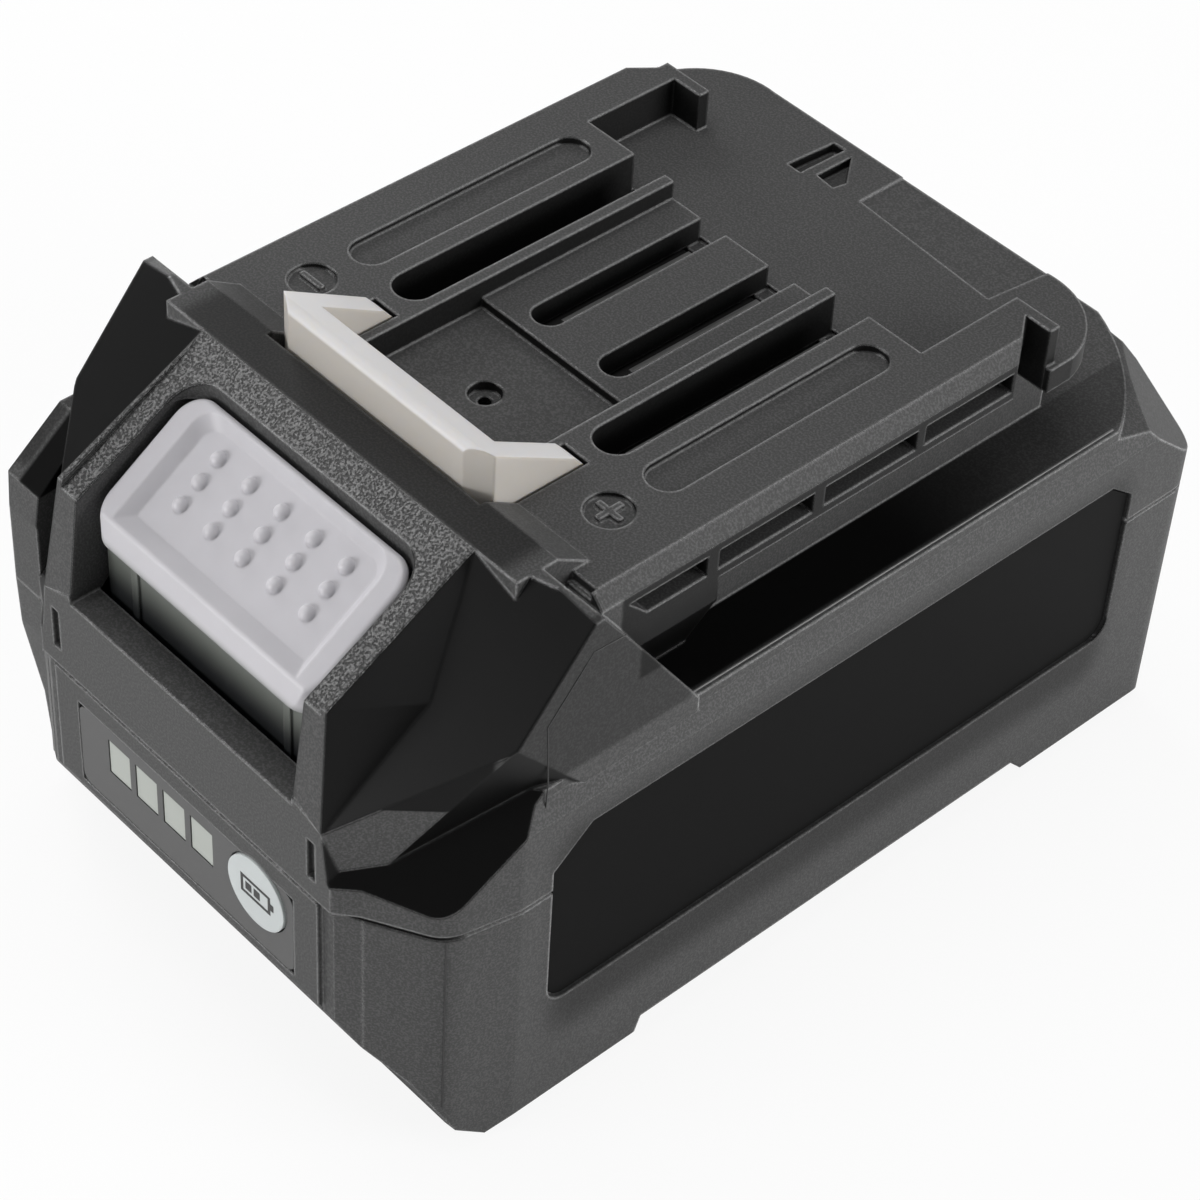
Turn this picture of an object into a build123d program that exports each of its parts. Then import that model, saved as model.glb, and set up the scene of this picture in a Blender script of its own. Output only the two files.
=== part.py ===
from build123d import *
import os
from math import cos, pi, sin, sqrt

os.makedirs("parts", exist_ok=True)

# Slide-on battery pack, in millimetres. X runs across the pack, Y from the gauge end to the
# rear and Z up. The pack stands on its feet at Z = 0, centred on the Z axis.

# Clearances shared by many pieces
fit = 0.1
gap = 0.3
thread_fit = 0.05
overrun = 5.0
quarter_turn = 90

# Cells and the layers beside them
cell_radius = 10.6
cell_length = 70.2
cell_gap = 0.8
columns = 5
strip_thickness = 0.3
sheet_thickness = 0.3
side_room = 1.0
pad_thickness = 0.5
rear_room = 3.4

# Case
wall = 2.0
half_length = 63.0
case_height = 75.6
foot_height = 4.9
parting_z = 37.6
seam_half = 0.25
seam_depth = 0.35
rear_radius = 4.0
shelf_wall = 1.2
half_width = cell_length / 2 + strip_thickness + sheet_thickness + side_room + wall
floor_z = foot_height + wall
front_inside = wall - half_length
rear_inside = half_length - wall
cell_pitch = 2 * cell_radius + cell_gap
lower_cell_z = floor_z + pad_thickness + fit + cell_radius
upper_cell_z = lower_cell_z + cell_pitch
cell_top_z = upper_cell_z + cell_radius
deck_inside = cell_top_z + fit + pad_thickness
deck_z = deck_inside + wall
last_column_y = rear_inside - rear_room - cell_radius
column_ys = [last_column_y - cell_pitch * (columns - 1 - n) for n in range(columns)]
layer_zs = [lower_cell_z, upper_cell_z]

# Plan of the case from the gauge panel round the stepped front corner, as shares of the
# half width and the half length
front_corner_shares = [(0.669, -1.0), (0.736, -0.965), (0.952, -0.888), (1.0, -0.746)]
# The same corner at the deck, and the points of the wide rear arc there
deck_corner_shares = [(0.669, -1.0), (0.736, -0.965), (0.942, -0.890), (0.972, -0.746)]
deck_arc_shares = [(0.972, 0.746), (0.838, 0.856), (0.543, 0.979)]
rear_corner_shares = [(1.048, 0.832, 0.648), (0.617, 1.038, 0.648), (0.970, 0.981, 0.567)]
corner_post = 2
corner_post_radius = 5.0
shoulder_drop = 4.3
lip_height = 1.4

# Side view of the lower case under the gauge, as shares of the half length and the parting height
chin_shares = [(-1.0, 0.553), (-0.965, 0.426), (-0.916, 0.314), (-0.890, 0.210), (-0.863, 0.120)]
foot_front_share = -0.829
arch_shares = (-0.462, -0.433, 0.571, 0.644)
heel = 1.5
sole_width = 1.8
sole_height = 2.6

# Slanting cut at the front corners of the foot, as shares of the half width, the half length and
# the case height
foot_corner_shares = [(0.853, -0.829, 0), (0.953, -0.786, 0), (0.964, -0.854, 0.053)]

# Recess between the gauge panel and the corner post, and the squarer left front corner, in plan.
# The corner's side views are shares of the half length and of the height of the shell it is on.
panel_recess_shares = [(0.612, -1.01), (0.612, -0.989), (0.662, -0.989), (0.739, -0.963), (0.739, -1.01)]
left_corner_shares = [(-1.0, -0.70), (-1.0, -0.911), (-0.979, -0.924), (-0.842, -0.927), (-0.879, -0.70)]
left_low_shares = [(-0.70, 0.10), (-0.863, 0.12), (-0.876, 0.43), (-0.914, 0.80), (-0.924, 1.0), (-0.70, 1.0)]
left_high_shares = [(-0.70, 0.49), (-0.924, 0.49), (-0.924, 0.648), (-0.913, 0.703), (-0.790, 0.787)]
left_high_shares += [(-0.70, 0.787)]

# Corners of the latch nose, as shares of the half width, the half length and the case height
ridge_share = (0.587, -0.652, 1.0)
bend_share = (0.597, -0.968, 0.860)
panel_top_share = (0.633, -1.0, 0.648)
flank_low_share = (0.969, -0.770, 0.817)
valley_share = (0.703, -0.803, 0.831)
shelf_shares = [(0.724, -0.957, 0.569), (0.946, -0.890, 0.537), (1.0, -0.738, 0.652)]
undercut_shares = [(0.969, -0.770, 0.817), (0.904, -0.751, 0.688), (0.721, -0.952, 0.569)]
shoulder_share = 0.84
nose_inset = 0.8
nose_half_width = half_width - nose_inset
nose_rear_y = -37.5
nose_rear_drop = 6.8
nose_rear_run = 5.0
nose_foot_y = -21.5
bridge_half_width = 29.3
bridge_rear_y = -35.4
bridge_foot_y = -30.9
tip_drop = 1.3
notch_inner_x = 29.3
notch_outer_x = 33.0
notch_length = 4.2
notch_depth = 4.0

# Rail block on top
platform_z = 72.8
rail_top_x = 33.0
flange_x = 34.7
flange_top_z = 71.05
flange_bottom_z = 65.9
web_x = 28.5
rail_front_y = -34.0
block_end_y = -16.8
block_round_z = 62.6
block_foot_x = 30.5
step_y = 20.4
ear_inner_x = 27.7
ear_outer_x = 34.4
ear_y = 34.5
ear_thickness = 1.6
left_ear_xs = (-30.6, -23.2)
flange_corner_radius = 4.0
rail_chamfer_y = 29.2
rail_chamfer_x = 30.6
recess_half_width = 12.66
recess_front_y = -31.0
recess_floor_z = 69.0
middle_front_y = -9.3
middle_z = 70.3
vent_z = (67.2, 69.9)
vent_ys = [(-30.0, -18.7), (-17.0, -2.9), (-1.2, 13.2), (14.5, 28.7)]
vent_depth = 4.0
power_slot_x = 16.85
power_slot_width = 5.3
power_slot_front = -18.4
signal_slot_x = 5.7
signal_slot_width = 4.2
signal_slot_front = -7.3
stadium_x = (22.2, 27.3)
stadium_y = (-18.1, 17.3)
stadium_depth = 0.8
mark_x = 24.9
mark_y = -24.1
mark_radius = 2.85
mark_depth = 0.5
mark_line = 0.8
plateau_z = 67.5
plateau_bottom_z = 64.2
plateau_shares = [(0.91, 0.61), (0.868, 0.675), (0.594, 0.756)]
web_end_y = 43.0
rail_inside_x = 26.5
platform_wall = 5.8
plateau_wall = 2.2
rail_inside_end_y = 41.0
deck_screw_x = -1.0
deck_screw_y = -18.9
deck_screw_recess = 2.0
deck_screw_depth = 1.2
deck_hole_radius = 0.8
rear_notches = [[(-11.5, 38.6), (-9.3, 38.6), (-9.1, 46.0), (-11.0, 46.0)]]
rear_notches += [[(-7.7, 39.8), (-4.7, 39.5), (-4.3, 41.4), (-7.6, 45.6)]]
rear_notch_depth = 1.4
plateau_step_shares = [(-0.021, 0.638), (0.561, 0.613), (0.592, 0.760), (-0.021, 0.770)]
plateau_step = 0.2

# Latch
pocket_half_width = 19.6
sill_rear_y = -58.9
pocket_top_y = -44.4
pocket_corner = 4.0
panel_top_z = 49.7
latch_floor_front = -55.8
latch_floor_rear = -19.5
latch_partition = 1.0
curtain_thickness = 0.9
curtain_z = 41.0
room_top_z = 71.0
frame_recess = 0.9
frame_edge = 22.3
hook_rise = 5.5
hook_half_width = 17.5
hook_front_y = -35.7
hook_thickness = 4.5
prong_width = 3.2
prong_end_y = -21.1
prong_tip_z = 72.5
prong_tip_y = -22.4
prong_bottom_z = 66.0
ramp_start_y = -34.5
hook_corner = (3.0, 1.8)
hook_edge = 0.9
hook_clearance = 0.4
button_half_width = 18.8
button_top = (-44.8, 72.8)
button_lip = (-59.5, 62.9)
button_front_y = -60.2
button_depth = 4.2
button_lip_height = 3.4
button_edge = 0.7
skirt_y = -58.2
skirt_thickness = 1.5
skirt_bottom_z = 45.5
skirt_rib_x = 13.3
skirt_rib_width = 1.2
skirt_rib_rise = 0.3
button_corner = 3.2
dish_half_width = 15.9
dish_depth = 1.3
dish_slope = 1.4
dish_top_margin = 1.2
dish_corner = 2.8
ledge_z = 63.1
bump_radius = 0.95
bump_pitch_x = 5.43
bump_columns = 5
bump_rows = 3
bump_pitch = 3.2
bump_start = 3.9
link_z = (65.0, 68.0)
link_half_width = 15.0
link_front_y = -49.0
spring_x = 10.0
spring_y = -41.0
spring_radius = 2.8
spring_wire = 0.4
spring_turns = 6
spring_samples = 48
sample_stride = 4
spring_peg_radius = 1.9
spring_peg_height = 1.2

# Gauge panel in the lower case
overlay_half_width = 19.5
overlay_z = (21.8, 34.5)
overlay_recess = 0.7
overlay_thickness = 0.65
overlay_corner = 1.5
window_x = -14.0
window_width = 4.0
window_pitch = 5.05
window_count = 4
window_z = (27.3, 32.6)
check_x = 13.2
check_z = 30.2
check_radius = 4.9
check_flange = 0.7
check_flange_thickness = 0.7
check_stem_radius = 1.2
check_proud = 0.25
check_travel = 0.5
guide_plate = 1.0
board_thickness = 1.6
gauge_board_y = -56.9
gauge_board_half_width = 20.2
gauge_board_z = (20.6, 36.0)
gauge_rib = (19.2, 20.6)
led_size = 2.0
led_height = 1.3
switch_size = 6.0
switch_height = 1.6
plunger_radius = 1.4
plunger_height = 0.6
side_slot_x = (22.1, 23.4)
side_slot_z = (40.6, 46.6)
side_slot_depth = 0.9

# Label plates on the flanks, as shares of the half length and the case height
label_shares = [(-0.676, 0.243), (-0.676, 0.538), (-0.590, 0.598)]
label_shares += [(0.737, 0.598), (0.802, 0.556), (0.802, 0.243)]
label_recess = 1.1
label_thickness = 0.6
label_corner = 3.0

# Cell holders, strips, boards and fasteners
holder_inner_x = 20.0
holder_room = 0.1
holder_margin = 1.2
holder_end = 0.5
strip_half_width = 6.5
strip_margin = 5.5
sheet_z = (8.4, 50.2)
sheet_y = (-49.5, 55.8)
pad_x = (5.0, 19.0)
lower_pad_y = (-25.0, 34.0)
upper_pad_y = (-50.0, -22.0)
board_z = 61.5
board_half_width = 25.5
board_y = (-18.3, 40.0)
board_boss_x = 22.0
board_boss_ys = (-14.0, 36.0)
board_boss_radius = 2.6
small_thread = 1.0
small_head = 1.9
small_head_height = 1.3
small_screw_depth = 2.4
terminal_block_z = 66.6
terminal_block_half_width = 21.0
terminal_block_y = (-18.0, 18.1)
leaf_thickness = 0.6
leaf_gap = 0.8
leaf_top_z = 68.6
signal_leaf_top_z = 67.4
power_leaf_y = (-13.2, 17.6)
signal_leaf_y = (-2.4, 17.6)
transistor_size = (6.2, 6.6, 2.3)
transistor_count = 4
transistor_pitch = 11.0
transistor_y = 30.5
lead_x = (24.0, 35.4)
lead_width = 6.0
lead_thickness = 0.3
lead_rise_ys = (-7.0, 27.5)
ribbon_half_width = 3.0
ribbon_thickness = 0.3
ribbon_low_z = 33.0
ribbon_room = 1.8
case_screw_x = 24.5
case_screw_y = -57.6
case_post_radius = 3.2
case_head_radius = 2.2
case_head_height = 1.8
case_thread = 1.2
case_seat_z = 17.0
case_screw_end_z = 45.5


def block(xs, ys, zs):
    """A box between a pair of values on each axis."""
    middle = [(pair[0] + pair[1]) / 2 for pair in (xs, ys, zs)]
    size = [pair[1] - pair[0] for pair in (xs, ys, zs)]
    return Pos(*middle) * Box(*size)


def both_sides(part):
    """A right-hand piece together with its mirror image."""
    return part + mirror(part, about=Plane.YZ)


def scaled_xy(shares):
    return [(half_width * x, half_length * y) for x, y in shares]


def point(share):
    """A place given as shares of half width, half length and case height."""
    return Vector(half_width * share[0], half_length * share[1], case_height * share[2])


def outline_face(points):
    return make_face(Polyline(*points, close=True))


def plate(points, bottom, top):
    """A flat outline in X and Y, raised between two heights."""
    return Pos(0, 0, bottom) * extrude(outline_face(points), amount=top - bottom, dir=(0, 0, 1))


def side_profile(points, xs):
    """An outline in Y and Z, drawn out along X between two places."""
    face = make_face(Polyline(*[(xs[0], y, z) for y, z in points], close=True))
    return extrude(face, amount=xs[1] - xs[0], dir=(1, 0, 0))


def front_profile(points, ys):
    """An outline in X and Z, drawn out along Y between two places."""
    face = make_face(Polyline(*[(x, ys[0], z) for x, z in points], close=True))
    return extrude(face, amount=ys[1] - ys[0], dir=(0, 1, 0))


def post(x, y, zs, radius):
    """An upright cylinder between two heights."""
    return Pos(x, y, (zs[0] + zs[1]) / 2) * Cylinder(radius, zs[1] - zs[0])


def rod_along_y(x, z, ys, radius):
    """A cylinder that lies along Y."""
    return Pos(x, (ys[0] + ys[1]) / 2, z) * Rot(quarter_turn, 0, 0) * Cylinder(radius, ys[1] - ys[0])


def rod_along_x(y, z, xs, radius):
    """A cylinder that lies along X."""
    return Pos((xs[0] + xs[1]) / 2, y, z) * Rot(0, quarter_turn, 0) * Cylinder(radius, xs[1] - xs[0])


def shave(part, a, b, c, inset=0):
    """Takes off the material above the plane through three points, moved inward by an inset."""
    normal = (b - a).cross(c - a).normalized()
    if normal.Z < 0 or (abs(normal.Z) < fit / case_height and normal.X < 0):
        normal = normal * -1
    reach = 4 * half_length
    plane = Plane(origin=a - normal * inset, z_dir=normal)
    cutter = plane * (Pos(0, 0, reach / 2) * Box(reach, reach, reach))
    return part - cutter


def shave_both(part, a, b, c, inset=0):
    """The same cut on the right and, mirrored, on the left."""
    right = shave(part, a, b, c, inset)
    flipped = shave(mirror(right, about=Plane.YZ), a, b, c, inset)
    return mirror(flipped, about=Plane.YZ)


def case_face(inset=0):
    """Plan of the case at the parting line, as a face at Z = 0."""
    right = scaled_xy(front_corner_shares) + [(half_width, half_length)]
    left = [(-x, y) for x, y in reversed(right)]
    face = outline_face(right + left)
    face = fillet(face.vertices().group_by(Axis.Y)[-1], rear_radius)
    face = fillet(face.vertices().group_by(Axis.Y)[corner_post], corner_post_radius)
    if inset:
        face = offset(face, amount=-inset, kind=Kind.INTERSECTION)
    return face


def seam_groove():
    """A shadow line round the case where the two shells meet."""
    ring = extrude(case_face(), amount=2 * seam_half) - extrude(case_face(seam_depth), amount=2 * seam_half)
    return Pos(0, 0, parting_z - seam_half) * ring


def ring_wire(corner_shares, arc_points, rear_y):
    """A closed plan line with two rear arcs, for the sloping shoulder of the deck."""
    right = scaled_xy(corner_shares)
    left = [(-x, y) for x, y in reversed(right)]
    start, middle, end = arc_points
    lines = [Polyline(*left, *right)]
    lines += [Line(right[-1], start)]
    lines += [ThreePointArc(start, middle, end)]
    lines += [Line(end, (-end[0], rear_y))]
    lines += [ThreePointArc((-end[0], end[1]), (-middle[0], middle[1]), (-start[0], start[1]))]
    lines += [Line((-start[0], start[1]), left[0])]
    face = make_face(lines)
    return fillet(face.vertices().group_by(Axis.Y)[corner_post], corner_post_radius)


def lower_profile(top_z, inset=0):
    """Side view of the lower case, feet and arch, up to a given height."""
    ys = [half_length * share for share in arch_shares]
    points = [(-half_length, top_z)]
    points += [(half_length * y, parting_z * z) for y, z in chin_shares]
    points += [(half_length * foot_front_share, 0), (ys[0], 0), (ys[1], foot_height)]
    points += [(ys[2], foot_height), (ys[3], 0)]
    points += [(half_length - heel, 0), (half_length, heel), (half_length, top_z)]
    face = outline_face(points)
    if inset:
        face = offset(face, amount=-inset, kind=Kind.INTERSECTION)
    upright = Plane(origin=(-half_width - overrun, 0, 0), x_dir=(0, 1, 0), z_dir=(1, 0, 0))
    return extrude(upright * face, amount=2 * (half_width + overrun), dir=(1, 0, 0))


def label_face():
    face = outline_face([(half_length * y, case_height * z) for y, z in label_shares])
    return fillet(face.vertices().group_by(Axis.Y)[0], label_corner)


def label_recess_cut():
    upright = Plane(origin=(half_width - label_recess, 0, 0), x_dir=(0, 1, 0), z_dir=(1, 0, 0))
    return both_sides(extrude(upright * label_face(), amount=label_recess + overrun, dir=(1, 0, 0)))


def label_plate(side):
    face = offset(label_face(), amount=-gap, kind=Kind.INTERSECTION)
    start = half_width - label_recess
    upright = Plane(origin=(start, 0, 0), x_dir=(0, 1, 0), z_dir=(1, 0, 0))
    plate_part = extrude(upright * face, amount=label_thickness, dir=(1, 0, 0))
    return plate_part if side > 0 else mirror(plate_part, about=Plane.YZ)


def left_corner(shares, height):
    """The squarer left front corner of one shell, from its plan and its side view."""
    side = side_profile([(half_length * y, height * z) for y, z in shares], (-half_width - overrun, 0))
    return plate(scaled_xy(left_corner_shares), 0, case_height) & side


def lower_case():
    body = extrude(case_face(), amount=parting_z)
    body &= lower_profile(parting_z + wall)
    sole = half_width - sole_width
    section = [(-sole, 0), (sole, 0), (half_width, sole_height), (half_width, parting_z)]
    section += [(-half_width, parting_z), (-half_width, sole_height)]
    body &= front_profile(section, (-half_length, half_length))
    body = cut_undercut(body, [point(share) for share in foot_corner_shares], 0)
    body += left_corner(left_low_shares, parting_z)
    body -= both_sides(plate(scaled_xy(panel_recess_shares), 0, parting_z - seam_half))
    hollow = extrude(case_face(wall), amount=parting_z + wall)
    hollow &= lower_profile(parting_z + 3 * wall, wall)
    hollow -= both_sides(post(case_screw_x, case_screw_y, (0, parting_z), case_post_radius))
    ribs = block(gauge_rib, (front_inside, gauge_board_y), gauge_board_z)
    hollow -= both_sides(ribs)
    body -= hollow
    body -= label_recess_cut()
    body -= gauge_cuts()
    bore = post(case_screw_x, case_screw_y, (0, parting_z + overrun), case_thread + fit + fit)
    head = post(case_screw_x, case_screw_y, (-overrun, case_seat_z), case_head_radius + fit + fit)
    body -= both_sides(bore + head)
    return body - seam_groove()


def gauge_cuts():
    """Recess, windows and button hole of the gauge panel."""
    front = -half_length
    xs = (-overlay_half_width, overlay_half_width)
    cut = block(xs, (front - overrun, front + overlay_recess), overlay_z)
    for n in range(window_count):
        left = window_x + n * window_pitch
        cut += block((left, left + window_width), (front - overrun, front_inside + fit), window_z)
    cut += rod_along_y(check_x, check_z, (front - overrun, front_inside + fit), check_radius + fit)
    return cut


def gauge_overlay():
    front = -half_length + overlay_recess
    width = 2 * (overlay_half_width - fit)
    height = overlay_z[1] - overlay_z[0] - 2 * fit
    face = fillet(Rectangle(width, height).vertices(), overlay_corner)
    upright = Plane(origin=(0, front, (overlay_z[0] + overlay_z[1]) / 2), x_dir=(1, 0, 0), z_dir=(0, -1, 0))
    sheet = extrude(upright * face, amount=overlay_thickness, dir=(0, -1, 0))
    for n in range(window_count):
        left = window_x + n * window_pitch
        sheet -= block((left, left + window_width), (front - overrun, front + fit), window_z)
    span = (front - overrun, front + fit)
    return sheet - rod_along_y(check_x, check_z, span, check_radius + 2 * fit)


def light_guide():
    """A clear bar behind the panel with one block through each window."""
    last = window_x + window_pitch * (window_count - 1) + window_width
    span = (window_x - guide_plate, last + guide_plate)
    zs = (window_z[0] - guide_plate, window_z[1] + guide_plate)
    guide = block(span, (front_inside, front_inside + guide_plate), zs)
    low, high = window_z
    face_y = -half_length + overlay_recess - overlay_thickness + fit
    for n in range(window_count):
        left = window_x + n * window_pitch
        xs = (left + fit, left + window_width - fit)
        guide += block(xs, (face_y, front_inside), (low + fit, high - fit))
    return guide


def gauge_button():
    """Round check button with a flange behind the panel and a short stem."""
    front = -half_length - check_proud
    flange_front = front_inside + thread_fit
    flange_rear = flange_front + check_flange_thickness
    stem_end = gauge_board_y - switch_height - plunger_height - check_travel - thread_fit
    button = rod_along_y(check_x, check_z, (front, flange_front), check_radius)
    button += rod_along_y(check_x, check_z, (flange_front, flange_rear), check_radius + check_flange)
    return button + rod_along_y(check_x, check_z, (flange_rear, stem_end), check_stem_radius)


def gauge_board():
    xs = (-gauge_board_half_width, gauge_board_half_width)
    return block(xs, (gauge_board_y, gauge_board_y + board_thickness), gauge_board_z)


def gauge_leds():
    leds = []
    middle_z = (window_z[0] + window_z[1]) / 2
    for n in range(window_count):
        middle = window_x + n * window_pitch + window_width / 2
        xs = (middle - led_size / 2, middle + led_size / 2)
        zs = (middle_z - led_size / 2, middle_z + led_size / 2)
        leds.append(block(xs, (gauge_board_y - led_height, gauge_board_y), zs))
    return Compound(children=leds)


def tact_switch():
    half = switch_size / 2
    front = gauge_board_y - switch_height
    xs = (check_x - half, check_x + half)
    body = block(xs, (front, gauge_board_y), (check_z - half, check_z + half))
    return body + rod_along_y(check_x, check_z, (front - plunger_height, front), plunger_radius)


def nose_flanks(inset=0):
    """The wide part of the nose, under the two dark flanks, moved inward by an inset."""
    ridge, panel_top, flank_low = point(ridge_share), point(panel_top_share), point(flank_low_share)
    top = case_height - inset
    side = nose_half_width - inset
    rear = nose_rear_y - inset
    profile = [(-half_length, parting_z), (-half_length, top), (rear, top)]
    profile += [(rear + nose_rear_run, top - nose_rear_drop), (nose_foot_y - inset, deck_z)]
    profile += [(nose_foot_y - inset, parting_z)]
    body = side_profile(profile, (-side, side))
    body = shave_both(body, ridge, panel_top, flank_low, inset)
    above = panel_top + Vector(0, 0, overrun)
    body = shave_both(body, panel_top, flank_low, above, inset)
    body = cut_undercut(body, [point(share) for share in undercut_shares], inset)
    body -= above_frame()
    shoulder = Vector(half_width * shoulder_share, 0, case_height)
    behind = shoulder + Vector(0, overrun, 0)
    tip = Vector(nose_half_width, 0, case_height - tip_drop)
    return shave_both(body, shoulder, behind, tip, inset)


def above_frame():
    """The space over the sloping frame round the button, forward of the ridge."""
    ridge = point(ridge_share)
    front, top = -half_length - overrun, ridge.Z + overrun
    points = [(ridge.Y, ridge.Z), (ridge.Y, top), (front, top), (front, frame_height(front))]
    return side_profile(points, (-half_width, half_width))


def cut_undercut(body, lean, inset):
    """Cuts off what lies beyond a plane that leans inward towards the bottom, on both sides."""
    a, b, c = lean
    normal = (b - a).cross(c - a).normalized()
    if normal.X < 0:
        normal = normal * -1
    reach = 4 * half_length
    plane = Plane(origin=a - normal * inset, z_dir=normal)
    cutter = plane * (Pos(0, 0, reach / 2) * Box(reach, reach, reach))
    return body - cutter - mirror(cutter, about=Plane.YZ)


def nose_middle():
    """The frame round the button, which stands out between the flanks."""
    ridge, bend = point(ridge_share), point(bend_share)
    panel_top, valley = point(panel_top_share), point(valley_share)
    profile = [(-half_length, parting_z), (-half_length, panel_top.Z), (bend.Y, bend.Z)]
    profile += [(ridge.Y, ridge.Z), (bridge_rear_y, case_height), (bridge_foot_y, platform_z)]
    profile += [(bridge_foot_y, parting_z)]
    body = side_profile(profile, (-bridge_half_width, bridge_half_width))
    front = body & block((-half_width, half_width), (-half_length, ridge.Y), (parting_z, case_height))
    front = shave_both(front, ridge, bend, valley)
    front = shave_both(front, bend, panel_top, valley)
    body &= block((-half_width, half_width), (ridge.Y, 0), (parting_z, case_height))
    return body + front


def under_shelf(body, inset=0):
    """Keeps what lies under the shelf at the two front corners, moved inward by an inset."""
    a, b, c = [point(share) for share in shelf_shares]
    return shave_both(body, a, b, c, inset)


def skirt_walls():
    """The walls of the upper case up to the deck, with the sloping rear shoulder."""
    rear_start = half_length - rear_radius
    corner = rear_radius * (1 - sqrt(1 / 2))
    arc = [(half_width, rear_start), (half_width - corner, half_length - corner)]
    arc += [(half_width - rear_radius, half_length)]
    low = ring_wire(front_corner_shares, arc, half_length)
    high_arc = scaled_xy(deck_arc_shares)
    high = ring_wire(deck_corner_shares, high_arc, high_arc[-1][1])
    shoulder_z = deck_z - shoulder_drop
    lip_z = deck_z - lip_height
    body = Pos(0, 0, parting_z) * extrude(low, amount=shoulder_z - parting_z, dir=(0, 0, 1))
    body += loft([Pos(0, 0, shoulder_z) * low, Pos(0, 0, lip_z) * high], ruled=True)
    body = shave_both(body, *[point(share) for share in rear_corner_shares])
    return body + Pos(0, 0, lip_z) * extrude(high, amount=lip_height, dir=(0, 0, 1))


def inside_walls(body):
    """Trims a piece beside the cells so that it clears the shoulder and the shelf."""
    room = block((-half_width, half_width), (-half_length, half_length), (0, parting_z))
    room += Pos(0, 0, -wall - gap) * skirt_walls()
    return under_shelf(body & room, shelf_wall + gap)


def skirt():
    """The walls with the shelf below the flanks and the front panel leaning back."""
    bend, panel_top = point(bend_share), point(panel_top_share)
    body = under_shelf(skirt_walls())
    return shave(body, panel_top, bend, Vector(-bend.X, bend.Y, bend.Z))


def rail_block():
    """The flanged block that the tool slides onto, with its plateau and ears."""
    section = [(-web_x, deck_z - overrun / 2), (web_x, deck_z - overrun / 2), (web_x, flange_bottom_z)]
    section += [(flange_x, flange_bottom_z), (flange_x, flange_top_z), (rail_top_x, platform_z)]
    section += [(-rail_top_x, platform_z), (-flange_x, flange_top_z), (-flange_x, flange_bottom_z)]
    section += [(-web_x, flange_bottom_z)]
    body = front_profile(section, (rail_front_y, step_y))
    body += both_sides(rail_end())
    closing = [(web_x - wall, deck_z - fit), (block_foot_x, deck_z - fit), (flange_x, block_round_z)]
    closing += [(flange_x, flange_bottom_z + fit), (web_x - wall, flange_bottom_z + fit)]
    body += both_sides(front_profile(closing, (rail_front_y, block_end_y)))
    body += block((-web_x, web_x), (step_y - fit, web_end_y), (deck_z - overrun / 2, plateau_z))
    body += plateau()
    for xs in ((ear_inner_x, ear_outer_x), left_ear_xs):
        body += block(xs, (ear_y, ear_y + ear_thickness), (plateau_bottom_z, platform_z))
    return body


def rail_end():
    """One rail from the rear step to the ear, with its rounded and slanting end."""
    inner = block((ear_inner_x, rail_chamfer_x), (step_y - fit, ear_y), (flange_bottom_z, platform_z))
    start = step_y - fit
    end = ear_y + fit
    face = outline_face([(start, flange_bottom_z), (end, flange_bottom_z), (end, platform_z),
                         (start, platform_z)])
    corner = face.vertices().group_by(Axis.X)[-1].sort_by(Axis.Y)[0]
    face = fillet(corner, flange_corner_radius)
    upright = Plane(origin=(rail_chamfer_x, 0, 0), x_dir=(0, 1, 0), z_dir=(1, 0, 0))
    outer = extrude(upright * face, amount=flange_x - rail_chamfer_x, dir=(1, 0, 0))
    edge = [(rail_top_x, platform_z), (flange_x, flange_top_z), (flange_x + overrun, platform_z + overrun)]
    outer -= front_profile(edge, (start - overrun, ear_y + overrun))
    slant = [(flange_x, rail_chamfer_y), (rail_chamfer_x, ear_y), (flange_x + overrun, ear_y + overrun)]
    outer -= plate(slant, flange_bottom_z - overrun, platform_z + overrun)
    return inner + outer


def plateau():
    """The low rear part of the block, a thin shelf over the open ends of the grooves."""
    start, middle, end = scaled_xy(plateau_shares)
    front = ear_y + fit
    lines = [Line((-start[0], front), (start[0], front)), Line((start[0], front), start)]
    lines += [ThreePointArc(start, middle, end), Line(end, (-end[0], end[1]))]
    lines += [ThreePointArc((-end[0], end[1]), (-middle[0], middle[1]), (-start[0], start[1]))]
    lines += [Line((-start[0], start[1]), (-start[0], front))]
    height = plateau_z - plateau_bottom_z
    return Pos(0, 0, plateau_bottom_z) * extrude(make_face(lines), amount=height, dir=(0, 0, 1))


def slot_cut(x, width, front, bottom, top):
    """A contact slot with a round front end and an open rear."""
    radius = width / 2
    cut = block((x - radius, x + radius), (front + radius, step_y + fit), (bottom, top))
    return cut + post(x, front + radius, (bottom, top), radius)


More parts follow.
